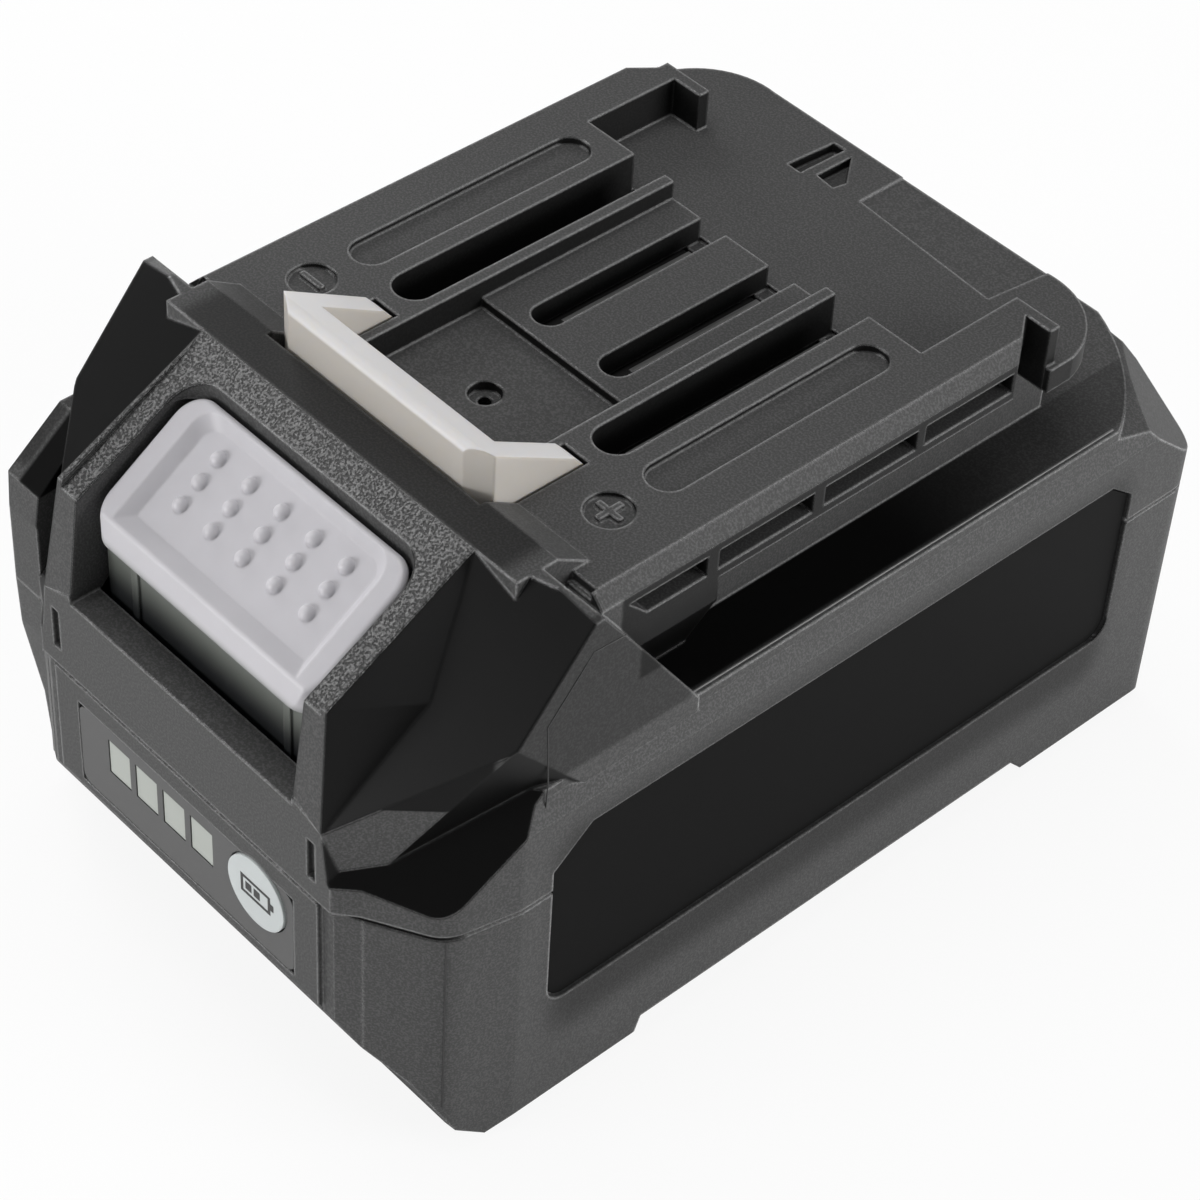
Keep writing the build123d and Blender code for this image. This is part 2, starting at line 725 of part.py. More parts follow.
def platform_cuts():
    """Recesses, contact slots, vents and marks of the rail block."""
    above = case_height + overrun
    xs = (-recess_half_width, recess_half_width)
    cut = block(xs, (recess_front_y, middle_front_y), (recess_floor_z, above))
    cut += block(xs, (middle_front_y, step_y + fit), (middle_z, above))
    low = platform_z - platform_wall - fit
    cut += both_sides(slot_cut(power_slot_x, power_slot_width, power_slot_front, low, above))
    cut += both_sides(slot_cut(signal_slot_x, signal_slot_width, signal_slot_front, low, above))
    cut += both_sides(stadium_cut())
    cut += both_sides(vent_cuts())
    bottom = recess_floor_z - deck_screw_depth
    cut += post(deck_screw_x, deck_screw_y, (bottom, above), deck_screw_recess)
    cut += post(deck_screw_x, deck_screw_y, (bottom - deck_hole_radius, above), deck_hole_radius)
    cut += mark_cut(mark_x, True) + mark_cut(-mark_x, False)
    for notch in rear_notches:
        cut += plate(notch, plateau_z - rear_notch_depth, above)
    cut += plate(scaled_xy(plateau_step_shares), plateau_z - plateau_step, plateau_z + fit)
    return cut


def stadium_cut():
    """The shallow long recess beside each outer contact slot."""
    radius = (stadium_x[1] - stadium_x[0]) / 2
    middle = (stadium_x[0] + stadium_x[1]) / 2
    zs = (platform_z - stadium_depth, platform_z + overrun)
    cut = block(stadium_x, (stadium_y[0] + radius, stadium_y[1] - radius), zs)
    cut += post(middle, stadium_y[0] + radius, zs, radius)
    return cut + post(middle, stadium_y[1] - radius, zs, radius)


def vent_cuts():
    """The row of pockets along the outer face of the flange."""
    xs = (flange_x - vent_depth, flange_x + overrun)
    first = vent_ys[0]
    height = vent_z[1] - vent_z[0]
    points = [(first[0], vent_z[1]), (first[0] + height, vent_z[0])]
    points += [(first[1], vent_z[0]), (first[1], vent_z[1])]
    cut = side_profile(points, xs)
    for pair in vent_ys[1:]:
        cut += block(xs, pair, vent_z)
    return cut


def mark_cut(x, plus):
    """A round recess that leaves a raised polarity sign."""
    zs = (platform_z - mark_depth, platform_z + overrun)
    cut = post(x, mark_y, zs, mark_radius)
    reach = mark_radius - 2 * mark_depth
    half = mark_line / 2
    cut -= block((x - reach, x + reach), (mark_y - half, mark_y + half), zs)
    if plus:
        cut -= block((x - half, x + half), (mark_y - reach, mark_y + reach), zs)
    return cut


def frame_height(y):
    """Height of the sloping frame round the button at a place along Y."""
    ridge, bend = point(ridge_share), point(bend_share)
    return bend.Z + (ridge.Z - bend.Z) * (y - bend.Y) / (ridge.Y - bend.Y)


def latch_cuts():
    """The button pocket, the room below it and the windows of the hook."""
    face = Rectangle(2 * pocket_half_width, pocket_top_y + half_length + overrun)
    face = fillet(face.vertices().group_by(Axis.Y)[-1], pocket_corner)
    middle_y = (pocket_top_y - half_length - overrun) / 2
    pocket = Pos(0, middle_y, panel_top_z) * extrude(face, amount=case_height, dir=(0, 0, 1))
    xs = (-pocket_half_width, pocket_half_width)
    room = block(xs, (front_inside, latch_floor_rear - latch_partition), (deck_z, room_top_z))
    room -= block(xs, (bridge_rear_y, latch_floor_rear - latch_partition),
                  (platform_z - platform_wall, case_height))
    well = block(xs, (sill_rear_y, latch_floor_front), (parting_z - overrun, deck_z + fit))
    pocket -= block((-half_width, half_width), (sill_rear_y, 0), (parting_z, deck_z))
    return pocket + room + well + hook_windows()


def hook_windows():
    edge = hook_clearance
    zs = (platform_z - platform_wall - overrun, case_height + overrun)
    rear = hook_front_y + hook_thickness
    cut = block((-hook_half_width - edge, hook_half_width + edge), (hook_front_y - edge, rear + edge), zs)
    inner = hook_half_width - prong_width - edge
    outer = hook_half_width + edge
    return cut + both_sides(block((inner, outer), (rear, prong_end_y + edge), zs))


def upper_hollow():
    """The space inside the upper case, down from the deck, the nose and the rail block."""
    base = Pos(0, 0, parting_z) * extrude(case_face(wall), amount=deck_inside - parting_z, dir=(0, 0, 1))
    base &= Pos(0, 0, -wall) * skirt_walls()
    base = under_shelf(base, shelf_wall)
    base -= both_sides(post(case_screw_x, case_screw_y, (parting_z, deck_inside), case_thread + wall / 2))
    cheek = nose_flanks(wall)
    keep = pocket_half_width + wall
    cheek -= block((-keep, keep), (-half_length, 0), (parting_z - overrun, case_height))
    cheek &= block((-half_width, half_width), (-half_length, rail_front_y - wall),
                   (deck_inside - fit, case_height))
    xs = (-rail_inside_x, rail_inside_x)
    rail = block(xs, (latch_floor_rear, step_y - wall), (deck_inside - fit, platform_z - platform_wall))
    rail += block(xs, (step_y - wall - fit, rail_inside_end_y), (deck_inside - fit, plateau_z - plateau_wall))
    for y in board_boss_ys:
        rail -= both_sides(post(board_boss_x, y, (board_z + board_thickness, case_height), board_boss_radius))
    curtain = block((-pocket_half_width, pocket_half_width),
                    (latch_floor_front, latch_floor_front + curtain_thickness), (curtain_z, deck_inside))
    return base - curtain + cheek + rail


def upper_case():
    body = skirt() + nose_flanks() + nose_middle() + rail_block()
    above = block((-half_width, 0), (-half_length, 0), (parting_z, case_height))
    body += left_corner(left_high_shares, case_height) & above
    body -= upper_hollow()
    sill = (front_inside - fit, sill_rear_y)
    body += block((-pocket_half_width, pocket_half_width), sill, (panel_top_z - wall, panel_top_z))
    body -= latch_cuts()
    body -= platform_cuts()
    body -= label_recess_cut()
    body -= frame_cut()
    slots = block(side_slot_x, (-half_length - overrun, -half_length + side_slot_depth), side_slot_z)
    body -= both_sides(slots)
    notch = block((notch_inner_x, notch_outer_x), (nose_rear_y, nose_rear_y + notch_length),
                  (case_height - notch_depth, case_height + overrun))
    body -= both_sides(notch)
    body -= seam_groove()
    pilot = post(case_screw_x, case_screw_y, (0, case_screw_end_z + fit), case_thread + thread_fit)
    body -= both_sides(pilot)
    for y in board_boss_ys:
        zs = (board_z, board_z + board_thickness + small_screw_depth + fit)
        body -= both_sides(post(board_boss_x, y, zs, small_thread + thread_fit))
    peg = post(spring_x, spring_y, (deck_z, deck_z + spring_peg_height), spring_peg_radius)
    return body + both_sides(peg)


def frame_cut():
    """Sinks the textured frame a little below the ridge and the flank edges."""
    ridge, bend = point(ridge_share), point(bend_share)
    points = [(ridge.Y, ridge.Z), (bend.Y - overrun, frame_height(bend.Y - overrun))]
    points += [(bend.Y - overrun, frame_height(bend.Y - overrun) - frame_recess)]
    points += [(bend.Y, bend.Z - frame_recess)]
    return side_profile(points, (-frame_edge, frame_edge))


def button_height(y):
    """Height of the sloping face of the button at a place along Y."""
    slope = (button_top[1] - button_lip[1]) / (button_top[0] - button_lip[0])
    return button_lip[1] + slope * (y - button_lip[0])


def release_button():
    """Dished and bumped thumb pad with a front skirt and a link to the hook."""
    top_y, front_y = button_top[0], button_front_y
    skirt_rear = skirt_y + skirt_thickness
    profile = [button_top, button_lip, (front_y, button_lip[1] - button_lip_height)]
    profile += [(skirt_y, button_lip[1] - button_lip_height), (skirt_y, skirt_bottom_z)]
    profile += [(skirt_rear, skirt_bottom_z), (skirt_rear, button_height(skirt_rear) - button_depth)]
    profile += [(top_y, button_top[1] - button_depth)]
    body = side_profile(profile, (-button_half_width, button_half_width))
    plan = fillet(Rectangle(2 * button_half_width, top_y - front_y).vertices(), button_corner)
    body &= Pos(0, (top_y + front_y) / 2, 0) * extrude(plan, amount=case_height, dir=(0, 0, 1))
    crown = slope_plane(0)
    rim = [edge for edge in body.edges() if abs(crown.to_local_coords(edge.center()).Z) < fit]
    body = fillet(rim, button_edge)
    body -= dish_cut()
    body += button_bumps()
    xs = (-link_half_width, link_half_width)
    link = block(xs, (link_front_y, hook_front_y), link_z)
    limit = [(link_front_y - overrun, button_height(link_front_y - overrun) - button_depth / 2)]
    limit += [(top_y, button_height(top_y) - button_depth / 2), (top_y, case_height + overrun)]
    limit += [(link_front_y - overrun, case_height + overrun)]
    body += link - side_profile(limit, (-half_width, half_width))
    for side in (-1, 1):
        middle = side * skirt_rib_x
        xs = (middle - skirt_rib_width / 2, middle + skirt_rib_width / 2)
        zs = (skirt_bottom_z, button_lip[1] - button_lip_height)
        body += block(xs, (skirt_y - skirt_rib_rise, skirt_y + fit), zs)
    return body


def slope_plane(distance):
    """A plane on the sloping face, at a distance down it from the upper edge."""
    run = button_top[0] - button_lip[0]
    rise = button_top[1] - button_lip[1]
    length = sqrt(run * run + rise * rise)
    y = button_top[0] - run * distance / length
    z = button_top[1] - rise * distance / length
    return Plane(origin=(0, y, z), x_dir=(1, 0, 0), z_dir=(0, -rise / length, run / length))


def dish_cut():
    """The thumb dish, which runs out over a level ledge at the lip."""
    run = button_top[0] - button_lip[0]
    rise = button_top[1] - button_lip[1]
    height = sqrt(run * run + rise * rise) + overrun
    plane = slope_plane(dish_top_margin + height / 2)
    mouth = fillet(Rectangle(2 * dish_half_width, height).vertices(), dish_corner)
    floor = fillet(Rectangle(2 * (dish_half_width - dish_slope), height - 2 * dish_slope).vertices(),
                   dish_corner - dish_slope / 2)
    dish = loft([plane * mouth, plane * (Pos(0, 0, -dish_depth) * floor)], ruled=True)
    dish += extrude(plane * mouth, amount=overrun, dir=plane.z_dir)
    return dish & block((-half_width, half_width), (-2 * half_length, 0), (ledge_z, 2 * case_height))


def button_bumps():
    bumps = []
    for row in range(bump_rows):
        plane = slope_plane(dish_top_margin + bump_start + row * bump_pitch)
        for column in range(bump_columns):
            x = (column - (bump_columns - 1) / 2) * bump_pitch_x
            bumps.append(plane * (Pos(x, 0, -dish_depth) * Sphere(bump_radius)))
    solid = bumps[0]
    for bump in bumps[1:]:
        solid += bump
    return solid


def latch_hook():
    """The catch that locks the pack to the tool: one bar with two ramped prongs."""
    top = case_height + hook_rise
    rear = hook_front_y + hook_thickness
    chamfer_x, chamfer_y = hook_corner
    plan = [(-hook_half_width, hook_front_y + chamfer_y), (chamfer_x - hook_half_width, hook_front_y)]
    plan += [(hook_half_width - chamfer_x, hook_front_y), (hook_half_width, hook_front_y + chamfer_y)]
    plan += [(hook_half_width, rear), (-hook_half_width, rear)]
    body = plate(plan, link_z[0], top)
    start = rear - fit
    ramp = [(start, prong_bottom_z), (start, ramp_height(start)), (prong_tip_y, ramp_height(prong_tip_y))]
    ramp += [(prong_end_y, prong_tip_z), (prong_end_y, prong_bottom_z)]
    prong = side_profile(ramp, (hook_half_width - prong_width, hook_half_width))
    body += both_sides(prong)
    over = [(ramp_start_y, top), (rear + fit, ramp_height(rear + fit)), (rear + fit, top + overrun)]
    over += [(ramp_start_y, top + overrun)]
    body -= side_profile(over, (-half_width, half_width))
    upper = [edge for edge in body.edges() if edge.center().Z > top - fit]
    return fillet([edge for edge in upper if edge.center().Y < hook_front_y + gap], hook_edge)


def ramp_height(y):
    """Height of the ramp of the hook, which falls from its top edge to the prong tips."""
    top = case_height + hook_rise
    share = (y - ramp_start_y) / (prong_tip_y - ramp_start_y)
    return top + (prong_tip_z + hook_clearance + hook_rise / 5 - top) * share


def latch_spring(side):
    """One unbroken coil between the latch floor and the link of the button."""
    low = deck_z + spring_wire + fit
    high = link_z[0] - spring_wire - fit
    turns = spring_turns
    path = Helix(pitch=(high - low) / turns, height=high - low, radius=spring_radius)
    start = path @ 0
    profile = Plane(origin=start, z_dir=path % 0) * Circle(spring_wire)
    coil = sweep(profile, path=path)
    return Pos(side * spring_x, spring_y, low) * coil


def spring_self_gap():
    """Least distance between the wire surfaces of two neighbouring turns."""
    low = deck_z + spring_wire + fit
    high = link_z[0] - spring_wire - fit
    rise = (high - low) / spring_turns
    count = spring_samples * spring_turns
    places = []
    for n in range(count):
        angle = 2 * pi * n / spring_samples
        height = rise * n / spring_samples
        places.append(Vector(spring_radius * cos(angle), spring_radius * sin(angle), height))
    least = min((places[n] - places[m]).length
                for n in range(0, count, sample_stride)
                for m in range(n + int(spring_samples / 2), count))
    return least - 2 * spring_wire


def cell(column, layer):
    half = cell_length / 2
    return rod_along_x(column_ys[column], layer_zs[layer], (-half, half), cell_radius)


def cell_holder(side):
    """Half of the cradle round the cells, with a bore for every cell."""
    outer_x = cell_length / 2 - holder_room
    reach = cell_radius + holder_room
    ys = (column_ys[0] - reach - holder_end, column_ys[-1] + reach + holder_end)
    zs = (lower_cell_z - reach + holder_margin, upper_cell_z + reach - holder_margin)
    body = block((holder_inner_x, outer_x), ys, zs)
    for y in column_ys:
        for z in layer_zs:
            body -= rod_along_x(y, z, (0, half_width), reach)
    zs = (0, case_height)
    body -= post(case_screw_x, case_screw_y, zs, case_post_radius + gap)
    body = inside_walls(body)
    return body if side > 0 else mirror(body, about=Plane.YZ)


def nickel_strips(side):
    """Thin plates welded across the cell ends, joining the columns in series."""
    groups = ((0, 1), (2, 3), (4, 4)) if side > 0 else ((0, 0), (1, 2), (3, 4))
    half = cell_length / 2
    zs = (lower_cell_z - strip_margin, cell_top_z + fit)
    plates = []
    for first, last in groups:
        ys = (column_ys[first] - strip_half_width, column_ys[last] + strip_half_width)
        part = inside_walls(block((half, half + strip_thickness), ys, zs))
        plates.append(part if side > 0 else mirror(part, about=Plane.YZ))
    return Compound(children=plates)


def insulator_sheet(side):
    start = cell_length / 2 + strip_thickness
    part = inside_walls(block((start, start + sheet_thickness), sheet_y, sheet_z))
    return part if side > 0 else mirror(part, about=Plane.YZ)


def foam_pads():
    pads = []
    for side in (-1, 1):
        xs = tuple(sorted((side * pad_x[0], side * pad_x[1])))
        pads.append(block(xs, lower_pad_y, (floor_z, floor_z + pad_thickness)))
        pads.append(block(xs, upper_pad_y, (deck_inside - pad_thickness, deck_inside)))
    return Compound(children=pads)


def lead(side, strip_y, rise_y):
    """Flat lead from the top of a nickel strip, along over the cells and up to the main board."""
    low = cell_top_z + fit
    high = low + lead_thickness
    half = lead_width / 2
    inner = lead_x[0]
    part = block(lead_x, (strip_y - half, strip_y + half), (low, high))
    run = (min(strip_y, rise_y) - half, max(strip_y, rise_y) + half)
    part += block((inner, inner + half), run, (low, high))
    part += block((inner, inner + lead_thickness), (rise_y - half, rise_y + half), (low, board_z))
    return part if side > 0 else mirror(part, about=Plane.YZ)


def gauge_ribbon():
    """Flat ribbon from the gauge board, up behind the curtain and over the cells to the main board."""
    xs = (-ribbon_half_width, ribbon_half_width)
    front = gauge_board_y + board_thickness
    climb = latch_floor_front + curtain_thickness + ribbon_room
    rear = board_y[0] + ribbon_thickness
    low = cell_top_z + fit
    part = block(xs, (front, climb), (ribbon_low_z, ribbon_low_z + ribbon_thickness))
    part += block(xs, (climb - ribbon_thickness, climb), (ribbon_low_z, low + ribbon_thickness))
    part += block(xs, (climb - ribbon_thickness, rear), (low, low + ribbon_thickness))
    return part + block(xs, (rear - ribbon_thickness, rear), (low, board_z))


def main_board():
    xs = (-board_half_width, board_half_width)
    board = block(xs, board_y, (board_z, board_z + board_thickness))
    for y in board_boss_ys:
        zs = (0, case_height)
        board -= both_sides(post(board_boss_x, y, zs, small_thread + fit))
    return board


def board_screws():
    screws = []
    for y in board_boss_ys:
        for side in (-1, 1):
            x = side * board_boss_x
            screw = post(x, y, (board_z - small_head_height, board_z), small_head)
            top = board_z + board_thickness + small_screw_depth
            screws.append(screw + post(x, y, (board_z, top), small_thread))
    return Compound(children=screws)


def terminal_block():
    """Carrier on the main board that closes the contact slots from below."""
    xs = (-terminal_block_half_width, terminal_block_half_width)
    zs = (board_z + board_thickness, terminal_block_z)
    carrier = block(xs, terminal_block_y, zs)
    carrier -= both_sides(post(board_boss_x, board_boss_ys[0], zs, board_boss_radius + gap))
    for x, ys in terminal_places():
        half = leaf_gap / 2 + leaf_thickness + fit
        carrier -= block((x - half, x + half), (ys[0] - fit, ys[1] + fit), zs)
    return carrier


def terminal_places():
    places = [(side * power_slot_x, power_leaf_y) for side in (-1, 1)]
    return places + [(side * signal_slot_x, signal_leaf_y) for side in (-1, 1)]


def terminal(x, ys, top):
    """Two upright leaves that take the blade of the tool between them, on a common foot."""
    inner = leaf_gap / 2
    outer = inner + leaf_thickness
    low = board_z + board_thickness
    part = block((x - outer, x + outer), ys, (low, low + leaf_thickness))
    for side in (-1, 1):
        xs = tuple(sorted((x + side * inner, x + side * outer)))
        part += block(xs, ys, (low, top))
    return part


def power_transistors():
    width, length, height = transistor_size
    low = board_z + board_thickness
    parts = []
    for n in range(transistor_count):
        x = (n - (transistor_count - 1) / 2) * transistor_pitch
        xs = (x - width / 2, x + width / 2)
        ys = (transistor_y - length / 2, transistor_y + length / 2)
        zs = (low, low + min(height, plateau_z - plateau_wall - low - fit))
        parts.append(block(xs, ys, zs))
    return Compound(children=parts)


def case_screws():
    screws = []
    for side in (-1, 1):
        x = side * case_screw_x
        head = post(x, case_screw_y, (case_seat_z - case_head_height, case_seat_z), case_head_radius)
        shank = post(x, case_screw_y, (case_seat_z, case_screw_end_z), case_thread)
        screws.append(head + shank)
    return Compound(children=screws)


def save(part, name):
    part.label = name
    export_step(part, os.path.join("parts", name + ".step"))


def main():
    save(lower_case(), "lower_case")
    save(upper_case(), "upper_case")
    save(label_plate(-1), "side_label_left")
    save(label_plate(1), "side_label_right")
    save(gauge_overlay(), "gauge_overlay")
    save(light_guide(), "light_guide")
    save(gauge_button(), "gauge_button")
    save(gauge_board(), "gauge_board")
    save(gauge_leds(), "gauge_leds")
    save(tact_switch(), "tact_switch")
    save(gauge_ribbon(), "gauge_ribbon")
    save(release_button(), "release_button")
    save(latch_hook(), "latch_hook")
    save(latch_spring(-1), "latch_spring_left")
    save(latch_spring(1), "latch_spring_right")
    for layer in range(len(layer_zs)):
        for column in range(columns):
            save(cell(column, layer), "cell_" + str(layer * columns + column + 1))
    save(cell_holder(-1), "cell_holder_left")
    save(cell_holder(1), "cell_holder_right")
    save(nickel_strips(-1), "nickel_strips_left")
    save(nickel_strips(1), "nickel_strips_right")
    save(insulator_sheet(-1), "insulator_sheet_left")
    save(insulator_sheet(1), "insulator_sheet_right")
    save(foam_pads(), "foam_pads")
    save(lead(1, column_ys[-1], lead_rise_ys[1]), "lead_positive")
    save(lead(-1, column_ys[0], lead_rise_ys[0]), "lead_negative")
    save(main_board(), "main_board")
    save(board_screws(), "board_screws")
    save(terminal_block(), "terminal_block")
    save(terminal(power_slot_x, power_leaf_y, leaf_top_z), "terminal_positive")
    save(terminal(-power_slot_x, power_leaf_y, leaf_top_z), "terminal_negative")
    save(terminal(signal_slot_x, signal_leaf_y, signal_leaf_top_z), "signal_terminal_right")
    save(terminal(-signal_slot_x, signal_leaf_y, signal_leaf_top_z), "signal_terminal_left")
    save(power_transistors(), "power_transistors")
    save(case_screws(), "case_screws")
    print("Least gap between spring turns:", round(spring_self_gap(), 2), "mm")


main()
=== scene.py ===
# %% [markdown]
# # A slide-on battery pack for a cordless tool
# The real pack is two moulded shells round ten cells. A flanged block on top slides into the
# tool, a sprung thumb button pulls the cream hook down, and a charge gauge sits in the front.
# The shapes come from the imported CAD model. This script gives them their finishes, adds the
# small trim that a mould leaves behind, and sets up the light and the camera.

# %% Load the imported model
import math
import bmesh
import bpy
from mathutils import Matrix, Vector


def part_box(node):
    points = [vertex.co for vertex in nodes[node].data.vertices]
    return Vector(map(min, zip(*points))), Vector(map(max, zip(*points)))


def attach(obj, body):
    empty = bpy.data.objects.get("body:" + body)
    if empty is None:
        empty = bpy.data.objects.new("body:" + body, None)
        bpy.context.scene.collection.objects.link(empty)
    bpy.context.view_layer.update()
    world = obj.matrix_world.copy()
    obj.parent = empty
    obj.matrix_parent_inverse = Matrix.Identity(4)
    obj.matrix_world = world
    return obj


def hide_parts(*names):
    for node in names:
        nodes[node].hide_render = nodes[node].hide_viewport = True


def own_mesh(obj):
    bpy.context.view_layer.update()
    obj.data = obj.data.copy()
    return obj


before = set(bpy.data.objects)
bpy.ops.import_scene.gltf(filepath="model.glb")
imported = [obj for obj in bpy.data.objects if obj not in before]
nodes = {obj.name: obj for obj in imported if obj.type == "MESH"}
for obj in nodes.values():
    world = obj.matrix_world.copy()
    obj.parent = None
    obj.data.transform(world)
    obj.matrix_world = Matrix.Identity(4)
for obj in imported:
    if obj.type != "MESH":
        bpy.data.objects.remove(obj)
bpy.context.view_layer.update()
mm = 0.001

# %% [markdown]
# ## Camera
# The photograph was taken from in front and to the right, from above the pack, with the camera
# turned a little about its own line of sight. Matching seen corners to the CAD model gave the
# angles and the place below, so the render can be laid over the photograph. A camera could be
# aimed with a constraint, but the turn is easier to set by building its three axes.

# %% Camera
camera_place = Vector((0.2181, -0.2167, 0.3208))
camera_azimuth = 45.17
camera_elevation = 43.75
camera_roll = math.radians(3.75)
field_of_view = math.radians(19.46)


def direction(azimuth, elevation):
    """Direction from the pack to a camera or a lamp, in degrees. The front is at azimuth 0."""
    turn, rise = math.radians(azimuth), math.radians(elevation)
    level = math.cos(rise)
    return Vector((math.sin(turn) * level, -math.cos(turn) * level, math.sin(rise)))


def camera_axes():
    """Right, up and backward directions of the camera."""
    back = direction(camera_azimuth, camera_elevation)
    right = Vector((0, 0, 1)).cross(back).normalized()
    up = back.cross(right)
    turned = right * math.cos(camera_roll) + up * math.sin(camera_roll)
    return turned, back.cross(turned), back


def make_camera():
    camera = bpy.data.objects.new("camera", bpy.data.cameras.new("camera"))
    bpy.context.scene.collection.objects.link(camera)
    axes = Matrix(camera_axes()).transposed().to_4x4()
    camera.matrix_world = Matrix.Translation(camera_place) @ axes
    camera.data.angle = field_of_view
    bpy.context.scene.camera = camera


make_camera()
print("Camera direction:", tuple(round(value, 3) for value in camera_axes()[2]))

# %% [markdown]
# ## Small helpers for node trees
# Every finish below is a tree of shader nodes. Writing node, link and value calls out each time
# would bury the idea, so short helpers do it: one makes a node, one fills a socket with a value
# or a link, and the rest do sums, ranges, mixes and masks.

# %% Make, fill and link nodes


def make_node(tree, kind, **settings):
    node = tree.nodes.new(kind)
    for name, value in settings.items():
        setattr(node, name, value)
    return node


def feed(tree, socket, source):
    """Fills a socket with a plain value or links it to another node's output."""
    if isinstance(source, bpy.types.NodeSocket):
        tree.links.new(source, socket)
    else:
        socket.default_value = source


# %% Sums, ranges and mixes


def calculate(tree, operation, *sources):
    node = make_node(tree, "ShaderNodeMath", operation=operation)
    for socket, source in zip(node.inputs, sources):
        feed(tree, socket, source)
    return node.outputs[0]


def likeness(tree, first, second):
    """1 where two directions are the same, and less as they turn apart."""
    node = make_node(tree, "ShaderNodeVectorMath", operation="DOT_PRODUCT")
    feed(tree, node.inputs[0], first)
    feed(tree, node.inputs[1], second)
    return node.outputs["Value"]


def smooth_range(tree, value, low, high, start=0.0, end=1.0):
    """A soft step from one value to another while the source goes from low to high."""
    node = make_node(tree, "ShaderNodeMapRange", interpolation_type="SMOOTHSTEP")
    for name, source in (("Value", value), ("From Min", low), ("From Max", high),
                         ("To Min", start), ("To Max", end)):
        feed(tree, node.inputs[name], source)
    return node.outputs["Result"]


def mix_colours(tree, share, first, second):
    node = make_node(tree, "ShaderNodeMix", data_type="RGBA")
    feed(tree, node.inputs["Factor"], share)
    feed(tree, node.inputs[6], first)
    feed(tree, node.inputs[7], second)
    return node.outputs[2]


def mix_values(tree, share, first, second):
    node = make_node(tree, "ShaderNodeMix", data_type="FLOAT")
    feed(tree, node.inputs["Factor"], share)
    feed(tree, node.inputs[2], first)
    feed(tree, node.inputs[3], second)
    return node.outputs[0]


def product(tree, *factors):
    result = factors[0]
    for factor in factors[1:]:
        result = calculate(tree, "MULTIPLY", result, factor)
    return result


def past(tree, value, limit, blur):
    """1 where a value lies past a limit, 0 before it, with a blurred step."""
    return smooth_range(tree, value, limit - blur, limit + blur)


def short_of(tree, value, limit, blur):
    """1 where a value lies short of a limit, 0 past it, with a blurred step."""
    return smooth_range(tree, value, limit - blur, limit + blur, 1.0, 0.0)


def between(tree, value, low, high, blur):
    """1 while a value lies between two limits, with blurred ends."""
    return product(tree, past(tree, value, low, blur), short_of(tree, value, high, blur))


# %% Places and noise on the piece itself


def object_place(tree):
    return make_node(tree, "ShaderNodeTexCoord").outputs["Object"]


def axes_of(tree, vector):
    """The three parts of a vector, by the names X, Y and Z."""
    node = make_node(tree, "ShaderNodeSeparateXYZ")
    feed(tree, node.inputs[0], vector)
    return node.outputs


def noise(tree, size, detail=2.0, roughness=0.5):
    """Noise on the piece's own coordinates, with blotches of a given size in metres."""
    linked = isinstance(size, bpy.types.NodeSocket)
    node = make_node(tree, "ShaderNodeTexNoise")
    feed(tree, node.inputs["Vector"], object_place(tree))
    feed(tree, node.inputs["Scale"], calculate(tree, "DIVIDE", 1.0, size) if linked else 1 / size)
    node.inputs["Detail"].default_value = detail
    node.inputs["Roughness"].default_value = roughness
    return node.outputs["Fac"]


def grey(value):
    return (value, value, value, 1.0)


# %% [markdown]
# ## Effects that several finishes share
# A moulding has rounded edges, a spark-eroded grain and slight handling marks. Edges could be
# rounded in the mesh, but a Bevel node softens the shading alone and leaves the CAD shape as it
# is. Each effect is a node group with named sockets, so that every material can place it with its
# own values. The groups only put out normals, heights and masks. The shader itself stays in the
# material.

# %% A group with named sockets


def new_group(name, inputs, outputs):
    group = bpy.data.node_groups.new(name, "ShaderNodeTree")
    for label, kind, value in inputs:
        socket = group.interface.new_socket(name=label, in_out="INPUT", socket_type=kind)
        socket.default_value = value
    for label, kind in outputs:
        group.interface.new_socket(name=label, in_out="OUTPUT", socket_type=kind)
    entry = group.nodes.new("NodeGroupInput")
    end = group.nodes.new("NodeGroupOutput")
    return group, entry.outputs, end.inputs


# %% Rounded edges
# How alike the softened and the true normal are, away from an edge and on it
edge_likeness = (0.995, 0.86)


def make_rounded_edges():
    """Normals that turn softly at corners, and a mask of how near an edge is."""
    group, given, out = new_group("rounded_edges", [("Radius", "NodeSocketFloat", 0.3 * mm)],
                                  [("Normal", "NodeSocketVector"), ("Edge", "NodeSocketFloat")])
    bevel = make_node(group, "ShaderNodeBevel", samples=4)
    feed(group, bevel.inputs["Radius"], given["Radius"])
    flat = make_node(group, "ShaderNodeNewGeometry").outputs["True Normal"]
    alike = likeness(group, bevel.outputs["Normal"], flat)
    feed(group, out["Normal"], bevel.outputs["Normal"])
    feed(group, out["Edge"], smooth_range(group, alike, *edge_likeness))
    return group


# %% Spark grain
coarse_size = 2.7
coarse_share = 0.3
fleck_range = (0.38, 0.68)


def make_spark_grain():
    """The fine pitted texture of a spark-eroded mould, a finer and a coarser noise together."""
    group, given, out = new_group("spark_grain", [("Size", "NodeSocketFloat", 0.3 * mm)],
                                  [("Height", "NodeSocketFloat"), ("Fleck", "NodeSocketFloat")])
    fine = noise(group, given["Size"], detail=3.0, roughness=0.6)
    coarse = noise(group, product(group, given["Size"], coarse_size), detail=1.0)
    height = calculate(group, "ADD", product(group, fine, 1 - coarse_share),
                       product(group, coarse, coarse_share))
    feed(group, out["Height"], height)
    feed(group, out["Fleck"], smooth_range(group, fine, *fleck_range))
    return group


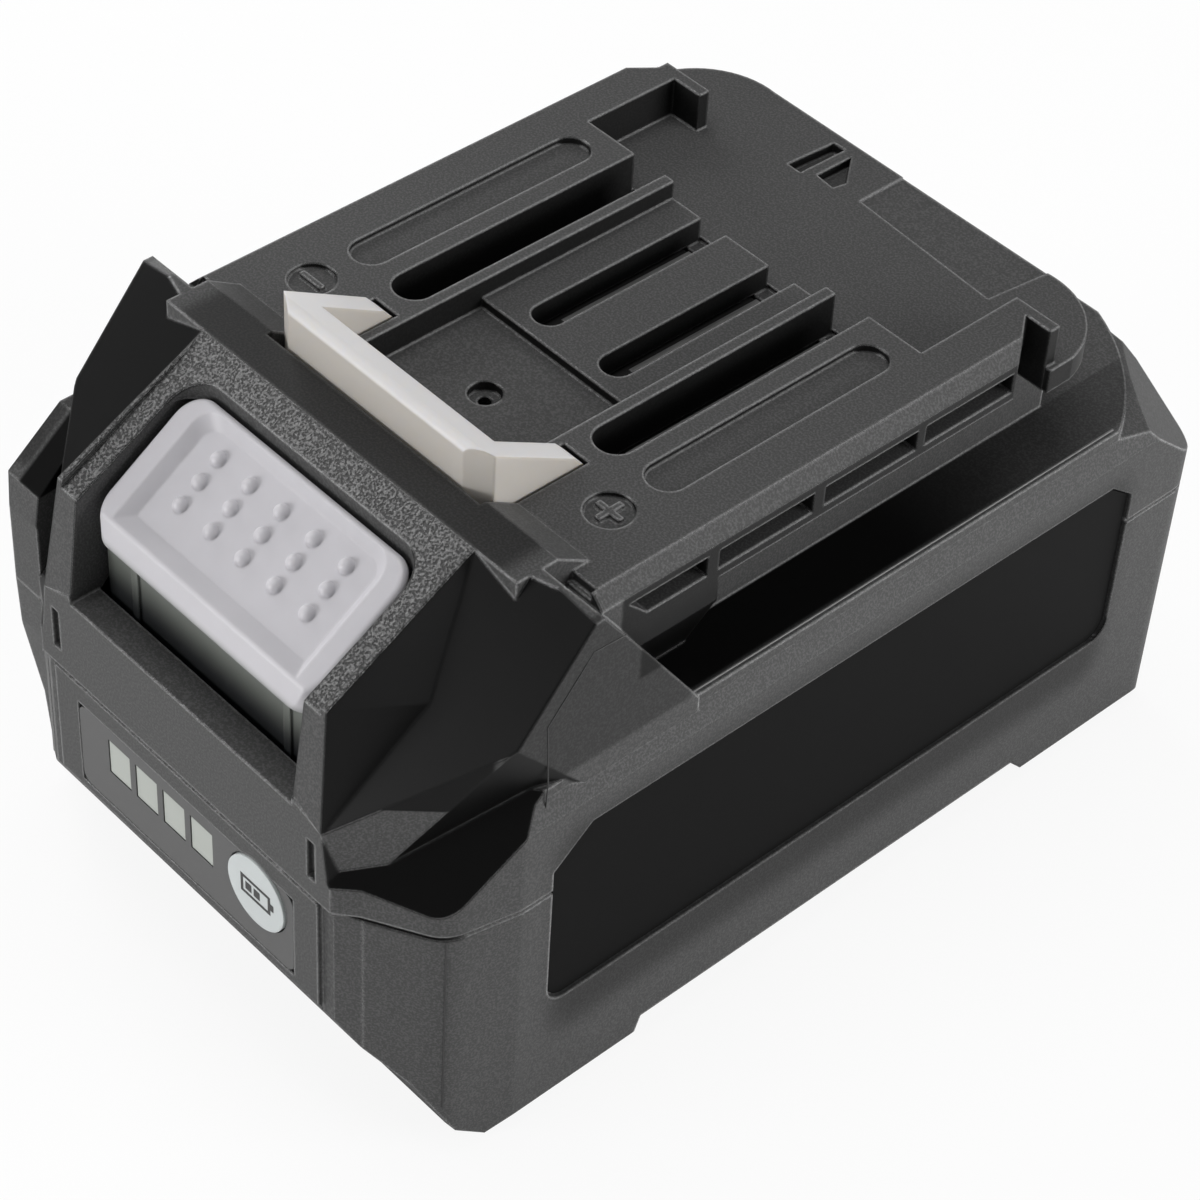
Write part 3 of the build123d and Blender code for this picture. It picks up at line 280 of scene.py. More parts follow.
# %% Handling marks, and placing a group in a material
broad_blotch = 21 * mm
close_blotch = 3.1 * mm
close_share = 0.5
gloss_share = 0.6


def make_handling():
    """Faint changes in tone and gloss from handling, in broad blotches and closer ones."""
    group, given, out = new_group("handling", [("Amount", "NodeSocketFloat", 0.1)],
                                  [("Tone", "NodeSocketFloat"), ("Gloss", "NodeSocketFloat")])
    broad = calculate(group, "SUBTRACT", noise(group, broad_blotch, detail=3.0), 0.5)
    close = calculate(group, "SUBTRACT", noise(group, close_blotch, detail=4.0), 0.5)
    both = calculate(group, "ADD", broad, product(group, close, close_share))
    shift = product(group, both, given["Amount"])
    feed(group, out["Tone"], calculate(group, "ADD", 1.0, shift))
    feed(group, out["Gloss"], product(group, shift, gloss_share))
    return group


rounded_edges = make_rounded_edges()
spark_grain = make_spark_grain()
handling = make_handling()


def place_group(tree, group, **values):
    node = make_node(tree, "ShaderNodeGroup", node_tree=group)
    for name, source in values.items():
        feed(tree, node.inputs[name], source)
    return node.outputs


print("Groups:", [group.name for group in bpy.data.node_groups])

# %% [markdown]
# ## Plain mouldings
# Most pieces are one moulded plastic: a colour, a gloss, a grain and soft edges, drawn lighter
# as a painted highlight. Each could have a tree of its own, but they differ only in numbers, so
# one recipe makes them all.

# %% Recipe for a moulded plastic


def new_material(name):
    material = bpy.data.materials.new(name)
    material.use_nodes = True
    tree = material.node_tree
    return material, tree, tree.nodes["Principled BSDF"]


def scale_colour(tree, colour, factor):
    node = make_node(tree, "ShaderNodeVectorMath", operation="SCALE")
    feed(tree, node.inputs[0], colour)
    feed(tree, node.inputs["Scale"], factor)
    return node.outputs["Vector"]


def bumped(tree, height, depth, normal):
    node = make_node(tree, "ShaderNodeBump")
    feed(tree, node.inputs["Height"], height)
    feed(tree, node.inputs["Distance"], depth)
    feed(tree, node.inputs["Normal"], normal)
    return node.outputs["Normal"]


def moulded(name, colour, roughness, grain=0.3 * mm, depth=0.01 * mm, radius=0.3 * mm, edge_highlight=0.25,
            amount=0.12):
    """A plain moulded plastic. Its grain has a size and a depth, its edges a radius and a painted
    highlight that lifts their tone, and its handling marks an amount."""
    material, tree, shader = new_material(name)
    edges = place_group(tree, rounded_edges, Radius=radius)
    pits = place_group(tree, spark_grain, Size=grain)
    marks = place_group(tree, handling, Amount=amount)
    # Painted highlight: the tone is lifted along the edges
    edge_highlight_tone = smooth_range(tree, edges["Edge"], 0, 1, 1, 1 + edge_highlight)
    tone = product(tree, marks["Tone"], edge_highlight_tone)
    feed(tree, shader.inputs["Base Color"], scale_colour(tree, colour[:3], tone))
    feed(tree, shader.inputs["Roughness"], calculate(tree, "ADD", roughness, marks["Gloss"]))
    feed(tree, shader.inputs["Normal"], bumped(tree, pits["Height"], depth, edges["Normal"]))
    return material


# %% [markdown]
# ## The case
# Both shells are one dark grey plastic, but the mould was not finished alike all over. The
# flanks of the nose and the groove floors are polished, and their colour is drawn nearly black
# as painted reflection and shade; the frame round the button has a coarse leather grain, and the
# rest is finely pitted. The walls of the rail block, the strip behind the ridge and the side
# walls get painted shade, and the edges and the leather's pebble peaks a painted highlight. Where
# the finish follows the direction that a face looks in, a mask is read from the softened normal,
# so its edges blur over the same width as the rounded corners do. The other masks follow places
# on the case. They could be painted on a UV map, but limits written as numbers are easier to
# change.

# %% Colours and grain of the case
case_colour = grey(0.064)
# Painted reflection and shade: the polished faces are drawn nearly black
painted_dark_colour = grey(0.002)
case_gloss, polished_gloss, leather_gloss = 0.46, 0.36, 0.3
case_specular = 0.14
corner_radius = 0.55 * mm
# Painted highlight: how many times lighter the case is drawn on its edges
painted_edge_highlight = 4.6
fine_grain = 0.28 * mm
fine_depth = 0.018 * mm
pit_tones = (0.78, 1.24)
leather_size = 0.32 * mm
leather_depth = 0.2 * mm
# Painted highlight, together with the grain: how much lighter the pebble peaks are drawn
leather_peak_highlight = 2.8
pebble_range = (0.36, 0.64)
peak_range = (0.2, 0.8)

# %% The frame that slopes from the ridge down to the bend
ridge_place = Vector((0, -41.1, 75.6)) * mm
bend_place = Vector((0, -61.0, 65.0)) * mm
frame_likeness = (0.985, 0.996)


def frame_slope():
    """Direction that the sloping frame round the button looks in."""
    run = bend_place - ridge_place
    return Vector((0, run.z, -run.y)).normalized()


print("Frame slope:", tuple(round(value, 3) for value in frame_slope()))

# %% Mask of the polished facets, painted dark, by the direction that they look in
# Each pair is the range over which one limit of the mask fades
facet_sideways = (0.13, 0.19)
facet_forward = (-0.22, -0.14)
facet_upward = (0.03, 0.1)
facet_under = (-0.2, -0.1)
facet_steep = (0.75, 0.85)


def facet_mask(tree, normal):
    """1 on the facets that lean on both sides of the nose, 0 elsewhere."""
    axes = axes_of(tree, normal)
    across = calculate(tree, "ABSOLUTE", axes["X"])
    sideways = smooth_range(tree, across, *facet_sideways)
    forward = smooth_range(tree, axes["Y"], *facet_forward, 1.0, 0.0)
    upward = smooth_range(tree, axes["Z"], *facet_upward)
    under = smooth_range(tree, axes["Z"], *facet_under, 1.0, 0.0)
    steep = smooth_range(tree, across, *facet_steep)
    either = calculate(tree, "MAXIMUM", upward, product(tree, under, steep))
    return product(tree, sideways, forward, either)


# %% Mask of the polished groove floors, painted dark as shade, by their place
groove_xs = (28.6 * mm, 36.55 * mm)
deck_heights = (53.0 * mm, 53.25 * mm)
groove_top = (63.4 * mm, 66.4 * mm)
groove_fade = (12 * mm, 44 * mm)
rear_polish_and_shade = 0.35


def groove_polish_and_shade(tree):
    """1 on the groove floors beside the rail block, fading to the rear: polish and painted shade.
    """
    axes = axes_of(tree, object_place(tree))
    across = calculate(tree, "ABSOLUTE", axes["X"])
    beside = past(tree, across, groove_xs[0], blur=0.2 * mm)
    within = short_of(tree, across, groove_xs[1], blur=0.35 * mm)
    above = smooth_range(tree, axes["Z"], *deck_heights)
    below = smooth_range(tree, axes["Z"], *groove_top, 1.0, 0.0)
    front = smooth_range(tree, axes["Y"], *groove_fade, 1.0, rear_polish_and_shade)
    return product(tree, beside, within, above, below, front)


# %% Masks of painted shade on the walls of the rail block and on the strip behind the ridge
block_bottom = 62 * mm
block_front = -31 * mm
block_steepness = (0.35, 0.6)
# Painted shade: share of the colour left on the walls of the rail block
rail_wall_shade_tone = 0.16
strip_ys = (-40.8 * mm, -35.2 * mm)
strip_half_widths = (25 * mm, 29 * mm)
strip_height = 74.75 * mm
# Painted shade: share of the colour left on the strip behind the ridge
ridge_strip_shade_tone = 0.35


def rail_wall_shade_mask(tree, normal):
    """1 on the upright walls of the rail block, its slots and its recesses, darkened as painted
    shade.
    """
    axes = axes_of(tree, object_place(tree))
    facing = calculate(tree, "ABSOLUTE", axes_of(tree, normal)["Z"])
    steep = smooth_range(tree, facing, *block_steepness, 1.0, 0.0)
    above = past(tree, axes["Z"], block_bottom, blur=0.5 * mm)
    behind = past(tree, axes["Y"], block_front, blur=0.5 * mm)
    return product(tree, steep, above, behind)


def ridge_strip_shade_mask(tree):
    """1 on the strip between the ridge and the hook, darkened as painted shade."""
    axes = axes_of(tree, object_place(tree))
    along = between(tree, axes["Y"], *strip_ys, blur=0.3 * mm)
    sideways = calculate(tree, "ABSOLUTE", axes["X"])
    across = smooth_range(tree, sideways, *strip_half_widths, 1.0, 0.0)
    high = past(tree, axes["Z"], strip_height, blur=0.25 * mm)
    return product(tree, high, along, across)


# %% Painted shade on the side walls
# Painted shade: tone of the walls away from the shaded places and on them
wall_shade_tones = (1.08, 0.5)
wall_x = 38.15 * mm
label_ys = (-42 * mm, 50 * mm)
label_zs = (12.5 * mm, 46 * mm)
label_blur = 4 * mm
cheek_x = 37.0 * mm
cheek_heights = (53.5 * mm, 55 * mm)
cheek_ends = (-24 * mm, -21.6 * mm)


def wall_painted_shade(tree):
    """Tone of the side walls, with painted shade close to the label and on the sides of the nose.
    """
    axes = axes_of(tree, object_place(tree))
    across = calculate(tree, "ABSOLUTE", axes["X"])
    beside = past(tree, across, wall_x, blur=0.25 * mm)
    along = between(tree, axes["Y"], *label_ys, label_blur)
    level = between(tree, axes["Z"], *label_zs, label_blur)
    high = smooth_range(tree, axes["Z"], *cheek_heights)
    front = smooth_range(tree, axes["Y"], *cheek_ends, 1.0, 0.0)
    outside = past(tree, across, cheek_x, blur=0.5 * mm)
    near = product(tree, level, beside, along)
    cheek = product(tree, high, front, outside)
    return smooth_range(tree, calculate(tree, "MAXIMUM", near, cheek), 0, 1, *wall_shade_tones)


# %% Case plastic


def case_tone(tree, normal, pits, peaks):
    """Share of the case colour that shows at a place, from its grain, the painted highlight on the
    pebble peaks and the painted shade of its masks.
    """
    pit = smooth_range(tree, pits["Fleck"], 0, 1, *pit_tones)
    peak_highlight = smooth_range(tree, peaks, 0, 1, 1, leather_peak_highlight)
    rail_wall_shade = smooth_range(tree, rail_wall_shade_mask(tree, normal), 0, 1, 1, rail_wall_shade_tone)
    ridge_strip_shade = smooth_range(tree, ridge_strip_shade_mask(tree), 0, 1, 1, ridge_strip_shade_tone)
    return product(tree, pit, peak_highlight, rail_wall_shade, wall_painted_shade(tree), ridge_strip_shade)


def make_case_plastic():
    material, tree, shader = new_material("case_plastic")
    edges = place_group(tree, rounded_edges, Radius=corner_radius)
    pits = place_group(tree, spark_grain, Size=fine_grain)
    marks = place_group(tree, handling, Amount=0.1)
    normal = edges["Normal"]
    alike = likeness(tree, normal, tuple(frame_slope()))
    leather = smooth_range(tree, alike, *frame_likeness)
    plain = calculate(tree, "SUBTRACT", 1.0, leather)
    glossy_and_painted_dark = calculate(tree, "MAXIMUM", facet_mask(tree, normal), groove_polish_and_shade(tree))
    polished_and_painted_dark = product(tree, glossy_and_painted_dark, plain)
    pebble = smooth_range(tree, noise(tree, leather_size, detail=1.5), *pebble_range)
    peaks = product(tree, leather, smooth_range(tree, pebble, *peak_range))
    tone = product(tree, marks["Tone"], smooth_range(tree, edges["Edge"], 0, 1, 1, painted_edge_highlight))
    textured_tone = product(tree, tone, case_tone(tree, normal, pits, peaks))
    textured = scale_colour(tree, case_colour[:3], textured_tone)
    # Painted reflection and shade: polished faces take the near-black colour
    dark = scale_colour(tree, painted_dark_colour[:3], tone)
    feed(tree, shader.inputs["Base Color"], mix_colours(tree, polished_and_painted_dark, textured, dark))
    gloss = mix_values(tree, polished_and_painted_dark, case_gloss, polished_gloss)
    gloss = mix_values(tree, leather, gloss, leather_gloss)
    feed(tree, shader.inputs["Roughness"], calculate(tree, "ADD", gloss, marks["Gloss"]))
    fine = product(tree, pits["Height"], calculate(tree, "SUBTRACT", 1.0, polished_and_painted_dark))
    grained = bumped(tree, fine, fine_depth, normal)
    pebbled = bumped(tree, product(tree, pebble, leather), leather_depth, grained)
    feed(tree, shader.inputs["Normal"], pebbled)
    shader.inputs["Specular IOR Level"].default_value = case_specular
    return material


case_plastic = make_case_plastic()
print("Nodes in the case plastic:", len(case_plastic.node_tree.nodes))

# %% [markdown]
# ## Button, hook, gauge and label
# The thumb button and the hook are unpainted plastic that lets a little light in, so they get
# some subsurface scattering. The button's skirt below its ledge, and lower down where it sits in
# the pocket, gets painted shade, and the hook a warmer painted shade on faces that look down or
# sideways. The label is a smooth film, and the gauge film is printed grey.

# %% Recipes for the finishes that show
scatter_weight = 0.25
scatter_depth = 1.2 * mm


def make_translucent(name, colour, roughness, depth_colour, radius):
    """A moulded plastic that lets a little light in, tinted with depth."""
    material = moulded(name, colour, roughness, grain=0.45 * mm, depth=0.006 * mm, radius=radius,
                       edge_highlight=0.06)
    shader = material.node_tree.nodes["Principled BSDF"]
    shader.inputs["Subsurface Weight"].default_value = scatter_weight
    shader.inputs["Subsurface Radius"].default_value = depth_colour
    shader.inputs["Subsurface Scale"].default_value = scatter_depth
    return material


def add_painted_shade(material, position, low, high, shade):
    """Paints shade: lets the colour of a material fall to a darker colour where a place or
    direction is low along Z.
    """
    tree = material.node_tree
    colour = tree.nodes["Principled BSDF"].inputs["Base Color"]
    plain = colour.links[0].from_socket
    share = smooth_range(tree, axes_of(tree, position(tree))["Z"], low, high, 1.0, 0.0)
    feed(tree, colour, mix_colours(tree, share, plain, shade))


def face_direction(tree):
    return make_node(tree, "ShaderNodeNewGeometry").outputs["Normal"]


# %% Button, hook and check button
ledge_heights = (58.6 * mm, 60.6 * mm)
pocket_heights = (50.5 * mm, 57.5 * mm)
downward = (-0.1, 0.5)

button_plastic = make_translucent("button_plastic", (0.50, 0.49, 0.515, 1), 0.36, (1.0, 0.95, 0.9),
                                  0.5 * mm)
# Painted shade on the skirt below the ledge and deeper in the pocket
add_painted_shade(button_plastic, object_place, *ledge_heights, (0.13, 0.14, 0.125, 1))
add_painted_shade(button_plastic, object_place, *pocket_heights, (0.008, 0.009, 0.01, 1))
hook_plastic = make_translucent("hook_plastic", (0.62, 0.61, 0.61, 1), 0.3, (1.0, 0.8, 0.5),
                                0.5 * mm)
# Painted shade, warmer, on the hook's faces that look down or sideways
add_painted_shade(hook_plastic, face_direction, *downward, (0.50, 0.47, 0.43, 1))
check_plastic = make_translucent("check_plastic", (0.50, 0.53, 0.53, 1), 0.45, (0.9, 1.0, 0.95),
                                 0.3 * mm)
print("Translucent:", [made.name for made in (button_plastic, hook_plastic, check_plastic)])

# %% Label, gauge, ink and trim
label_specular = 0.06

label_film = moulded("label_film", grey(0.004), 0.55, grain=1.5 * mm, depth=0.001 * mm,
                     radius=0.08 * mm, edge_highlight=0.1, amount=0.04)
label_shader = label_film.node_tree.nodes["Principled BSDF"]
label_shader.inputs["Specular IOR Level"].default_value = label_specular
gauge_film = moulded("gauge_film", grey(0.075), 0.5, grain=0.35 * mm, depth=0.012 * mm,
                     radius=0.15 * mm)
window_plastic = moulded("window_plastic", (0.38, 0.40, 0.37, 1), 0.3, grain=0.5 * mm,
                         depth=0.004 * mm, radius=0.15 * mm, edge_highlight=0.1)
print_ink = moulded("print_ink", grey(0.03), 0.55, grain=0.4 * mm, depth=0.004 * mm,
                    radius=0.02 * mm)
seam_plastic = moulded("seam_plastic", grey(0.02), 0.45, grain=0.4 * mm, depth=0.004 * mm,
                       radius=0.05 * mm)
# Painted highlight: the deck lips are drawn lighter than the case
lip_highlight_plastic = moulded("lip_highlight_plastic", grey(0.12), 0.4, grain=0.4 * mm, depth=0.004 * mm,
                      radius=0.1 * mm)
print("Finishes so far:", len(bpy.data.materials))

# %% [markdown]
# ## Pieces inside
# The inner pieces show only when the shells come off, but each has the finish of the real one:
# shrink sleeve on the cells, rolled lines on the nickel, tracks on the boards. A stretched noise
# and a brick pattern are enough for the lines and the tracks, so no picture is needed.

# %% Recipes for metal and circuit board
line_width = 0.2 * mm
line_depth = 0.004 * mm
line_range = (0.3, 0.7)
line_tones = (0.85, 1.1)
track_grid = 4.5 * mm
track_depth = 0.03 * mm


def make_metal(name, colour, roughness, stretch):
    """A rolled or plated metal with fine lines along one direction."""
    material, tree, shader = new_material(name)
    mapping = make_node(tree, "ShaderNodeMapping")
    feed(tree, mapping.inputs["Vector"], object_place(tree))
    mapping.inputs["Scale"].default_value = stretch
    lines = make_node(tree, "ShaderNodeTexNoise")
    feed(tree, lines.inputs["Vector"], mapping.outputs["Vector"])
    lines.inputs["Scale"].default_value = 1 / line_width
    edges = place_group(tree, rounded_edges, Radius=0.12 * mm)
    marks = place_group(tree, handling, Amount=0.2)
    tone = smooth_range(tree, lines.outputs["Fac"], *line_range, *line_tones)
    tone = product(tree, tone, marks["Tone"])
    feed(tree, shader.inputs["Base Color"], scale_colour(tree, colour[:3], tone))
    feed(tree, shader.inputs["Roughness"], calculate(tree, "ADD", roughness, marks["Gloss"]))
    normal = bumped(tree, lines.outputs["Fac"], line_depth, edges["Normal"])
    feed(tree, shader.inputs["Normal"], normal)
    shader.inputs["Metallic"].default_value = 1.0
    return material


def make_laminate():
    """Circuit board: solder mask with tracks along the joints of a brick pattern."""
    material, tree, shader = new_material("board_laminate")
    bricks = make_node(tree, "ShaderNodeTexBrick")
    feed(tree, bricks.inputs["Vector"], object_place(tree))
    bricks.inputs["Scale"].default_value = 1 / track_grid
    bricks.inputs["Mortar Size"].default_value = 0.05
    bricks.inputs["Color1"].default_value = (0.012, 0.11, 0.045, 1)
    bricks.inputs["Color2"].default_value = (0.016, 0.14, 0.06, 1)
    bricks.inputs["Mortar"].default_value = (0.03, 0.2, 0.09, 1)
    edges = place_group(tree, rounded_edges, Radius=0.1 * mm)
    marks = place_group(tree, handling, Amount=0.1)
    colour = scale_colour(tree, bricks.outputs["Color"], marks["Tone"])
    feed(tree, shader.inputs["Base Color"], colour)
    feed(tree, shader.inputs["Roughness"], calculate(tree, "ADD", 0.3, marks["Gloss"]))
    normal = bumped(tree, bricks.outputs["Fac"], track_depth, edges["Normal"])
    feed(tree, shader.inputs["Normal"], normal)
    return material


# %% Finishes inside
sleeve = moulded("sleeve", (0.03, 0.24, 0.33, 1), 0.28, grain=2.5 * mm, depth=0.02 * mm,
                 radius=0.5 * mm)
holder_plastic = moulded("holder_plastic", grey(0.035), 0.5, depth=0.015 * mm)
black_plastic = moulded("black_plastic", grey(0.02), 0.4, depth=0.01 * mm, radius=0.2 * mm)
fish_paper = moulded("fish_paper", (0.5, 0.52, 0.4, 1), 0.8, grain=0.9 * mm, depth=0.03 * mm,
                     radius=0.1 * mm)
foam = moulded("foam", grey(0.03), 0.95, grain=0.5 * mm, depth=0.12 * mm, radius=0.1 * mm)
ribbon_film = moulded("ribbon_film", (0.42, 0.19, 0.03, 1), 0.3, grain=1.2 * mm,
                      depth=0.004 * mm, radius=0.05 * mm)
led_lens = moulded("led_lens", (0.75, 0.78, 0.6, 1), 0.35, grain=0.4 * mm, depth=0.004 * mm,
                   radius=0.2 * mm)
nickel = make_metal("nickel", grey(0.62), 0.3, (1, 0.05, 1))
zinc_steel = make_metal("zinc_steel", grey(0.5), 0.32, (1, 1, 0.1))
laminate = make_laminate()
print("Finishes in all:", len(bpy.data.materials))

# %% [markdown]
# ## Dress the CAD pieces
# Each CAD node keeps its shape and takes its finish from this table of name beginnings. The
# first beginning that fits wins, so the special names come before the general ones.

# %% Give every CAD piece its finish
finish_of = [
    ("upper_case", case_plastic), ("lower_case", case_plastic), ("release_button", button_plastic),
    ("latch_hook", hook_plastic), ("gauge_button", check_plastic), ("side_label", label_film),
    ("gauge_overlay", gauge_film), ("light_guide", window_plastic),
    ("cell_holder", holder_plastic), ("cell_", sleeve), ("terminal_block", black_plastic),
    ("tact_switch", black_plastic), ("power_transistors", black_plastic),
    ("insulator", fish_paper), ("foam", foam), ("gauge_ribbon", ribbon_film),
    ("gauge_leds", led_lens), ("gauge_board", laminate), ("main_board", laminate),
    ("nickel", nickel), ("lead_", nickel), ("terminal_", nickel), ("signal_terminal", nickel),
    ("latch_spring", zinc_steel), ("case_screws", zinc_steel), ("board_screws", zinc_steel),
]


def dress(name, piece):
    finish = next(finish for start, finish in finish_of if name.startswith(start))
    for slot in piece.material_slots:
        slot.material = finish


for name, piece in nodes.items():
    dress(name, piece)
print("Dressed", len(nodes), "CAD pieces")

# %% [markdown]
# ## Springs under the button
# The two springs under the button stand on the case and are pressed together as the latch goes
# down. A CAD piece keeps its shape, so a copy of each coil with a mesh of its own stands for it
# and rides on the pack.


def make_coil(node):
    coil = bpy.data.objects.new(node + "_coil", nodes[node].data.copy())
    bpy.context.scene.collection.objects.link(coil)
    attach(coil, "pack")
    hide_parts(node)
    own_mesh(coil)
    return coil


coils = [make_coil("latch_spring_" + side) for side in ("left", "right")]
print("Coils:", [coil.name for coil in coils])

# %% [markdown]
# ## Mould seams
# Where two parts of the mould met, the plastic shows a hair-fine line, and a low lip runs along
# each edge of the deck, drawn lighter than the case as a painted highlight. A line that follows a
# path is a job for Geometry Nodes: the path is a mesh of edges, a small round section is swept
# along it, and the result becomes a plain mesh.

# %% Geometry Nodes tree for a line along a path
section_corners = 8


def make_line_tree():
    tree = bpy.data.node_groups.new("line_along_path", "GeometryNodeTree")
    tree.interface.new_socket(name="Geometry", in_out="INPUT", socket_type="NodeSocketGeometry")
    tree.interface.new_socket(name="Radius", in_out="INPUT", socket_type="NodeSocketFloat")
    tree.interface.new_socket(name="Finish", in_out="INPUT", socket_type="NodeSocketMaterial")
    tree.interface.new_socket(name="Geometry", in_out="OUTPUT", socket_type="NodeSocketGeometry")
    given = tree.nodes.new("NodeGroupInput").outputs
    end = tree.nodes.new("NodeGroupOutput").inputs
    path = make_node(tree, "GeometryNodeMeshToCurve")
    section = make_node(tree, "GeometryNodeCurvePrimitiveCircle")
    section.inputs["Resolution"].default_value = section_corners
    sweep = make_node(tree, "GeometryNodeCurveToMesh")
    sweep.inputs["Fill Caps"].default_value = True
    real = make_node(tree, "GeometryNodeRealizeInstances")
    paint = make_node(tree, "GeometryNodeSetMaterial")
    feed(tree, path.inputs["Mesh"], given["Geometry"])
    feed(tree, section.inputs["Radius"], given["Radius"])
    feed(tree, sweep.inputs["Curve"], path.outputs["Curve"])
    feed(tree, sweep.inputs["Profile Curve"], section.outputs["Curve"])
    feed(tree, real.inputs["Geometry"], sweep.outputs["Mesh"])
    feed(tree, paint.inputs["Geometry"], real.outputs["Geometry"])
    feed(tree, paint.inputs["Material"], given["Finish"])
    feed(tree, end["Geometry"], paint.outputs["Geometry"])
    return tree


line_tree = make_line_tree()
print("Nodes in the line tree:", len(line_tree.nodes))

# %% Turn paths into a piece of fine lines


def both_sides(paths):
    """The given paths and their mirror images across the pack."""
    return paths + [[(-x, y, z) for x, y, z in path] for path in paths]


def make_lines(name, paths, radius, finish, body):
    """One piece of fine lines along paths given in millimetres, riding on a body."""
    mesh = bpy.data.meshes.new(name + "_paths")
    points = [Vector(point) * mm for path in paths for point in path]
    edges, start = [], 0
    for path in paths:
        edges += [(start + n, start + n + 1) for n in range(len(path) - 1)]
        start += len(path)
    mesh.from_pydata(points, edges, [])
    holder = bpy.data.objects.new(name + "_paths", mesh)
    bpy.context.scene.collection.objects.link(holder)
    modifier = holder.modifiers.new("lines", "NODES")
    modifier.node_group = line_tree
    items = line_tree.interface.items_tree
    sockets = {item.name: item.identifier for item in items if item.in_out == "INPUT"}
    modifier[sockets["Radius"]] = radius
    modifier[sockets["Finish"]] = finish
    graph = bpy.context.evaluated_depsgraph_get()
    shown = bpy.data.meshes.new_from_object(holder.evaluated_get(graph))
    bpy.data.objects.remove(holder)
    piece = bpy.data.objects.new(name, shown)
    bpy.context.scene.collection.objects.link(piece)
    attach(piece, body)
    print(name, "faces:", len(shown.polygons))


# %% Seams and lips, in millimetres
nose_side_x = 37.9
corner_x = 36.45
corner_y = -55.69
nose_seam = [(nose_side_x, -43.6, 49.9), (nose_side_x, -43.4, 54.6), (nose_side_x, -43.9, 63.3),
             (nose_side_x, -37.9, 70.4), (nose_side_x, -33.5, 70.1)]
corner_seam = [(corner_x, corner_y, 9.0), (corner_x, corner_y, 37.2)]
lip_x = 36.9
deck_z = 53.3
deck_lip = [(lip_x, -36.0, deck_z), (lip_x, 46.5, deck_z)]
seam_radius = 0.09 * mm
lip_radius = 0.16 * mm

make_lines("mould_seams", both_sides([nose_seam, corner_seam]), seam_radius, seam_plastic, "pack")
make_lines("deck_lips", both_sides([deck_lip]), lip_radius, lip_highlight_plastic, "pack")

# %% [markdown]
# ## Battery sign on the check button
# The small round button carries a printed battery sign. A generic one is drawn here: an outline
# with a contact at one end and two bars inside. Ink has almost no thickness, so the sign is a
# very thin solid that stands on the face of the button and rides on the same body.

# %% Sizes of the sign, and a helper for its bars
sign_width = 5.2 * mm
sign_height = 2.9 * mm
sign_line = 0.42 * mm
sign_contact = 0.55 * mm
ink_thickness = 0.03 * mm


def add_box(shape, xs, ys, zs):
    """Adds a closed box between three pairs of values."""
    centre = Vector(((xs[0] + xs[1]) / 2, (ys[0] + ys[1]) / 2, (zs[0] + zs[1]) / 2))
    size = Matrix.Diagonal((abs(xs[1] - xs[0]), abs(ys[1] - ys[0]), abs(zs[1] - zs[0]), 1))
    bmesh.ops.create_cube(shape, size=1, matrix=Matrix.Translation(centre) @ size)


# %% Battery sign


def make_battery_sign():
    low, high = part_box("gauge_button")
    x, z = (low.x + high.x) / 2, (low.z + high.z) / 2
    ys = (low.y - ink_thickness, low.y)
    half_width, half_height = sign_width / 2, sign_height / 2
    inner = half_height - sign_line
    shape = bmesh.new()
    for side in (-1, 1):
        rail = (z + side * half_height, z + side * inner)
        add_box(shape, (x - half_width, x + half_width), ys, rail)
        end = (x + side * half_width, x + side * (half_width - sign_line))
        add_box(shape, end, ys, (z - inner, z + inner))
    contact = x + half_width
    add_box(shape, (contact, contact + sign_contact), ys, (z - inner / 2, z + inner / 2))
    bar = sign_width / 5
    for n in range(2):
        left = x - half_width + 2 * sign_line + n * (bar + sign_line)
        add_box(shape, (left, left + bar), ys, (z - inner + sign_line, z + inner - sign_line))
    mesh = bpy.data.meshes.new("battery_sign")
    shape.to_mesh(mesh)
    shape.free()
    mesh.materials.append(print_ink)
    piece = bpy.data.objects.new("battery_sign", mesh)
    bpy.context.scene.collection.objects.link(piece)
    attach(piece, "check_button")
    return piece


battery_sign = make_battery_sign()
print("Battery sign faces:", len(battery_sign.data.polygons))

# %% [markdown]
# ## Floor, lamps and background
# The photograph is a studio picture on white. A pale floor catches a soft shadow. Three low lamps
# light the front and the sides and a weaker one hangs above, which makes the top look darker. The
# lamps stand where no flank of the nose mirrors them to the camera, so the flanks stay black. The
# floor and the world ask the Light Path node who looks: the camera sees white, while the pack gets
# only a dim grey light from the world beside that of the lamps.

# %% Floor
floor_reach = 4.0
floor_drop = 0.02 * mm
floor_colour = grey(0.82)
floor_glow = 0.9


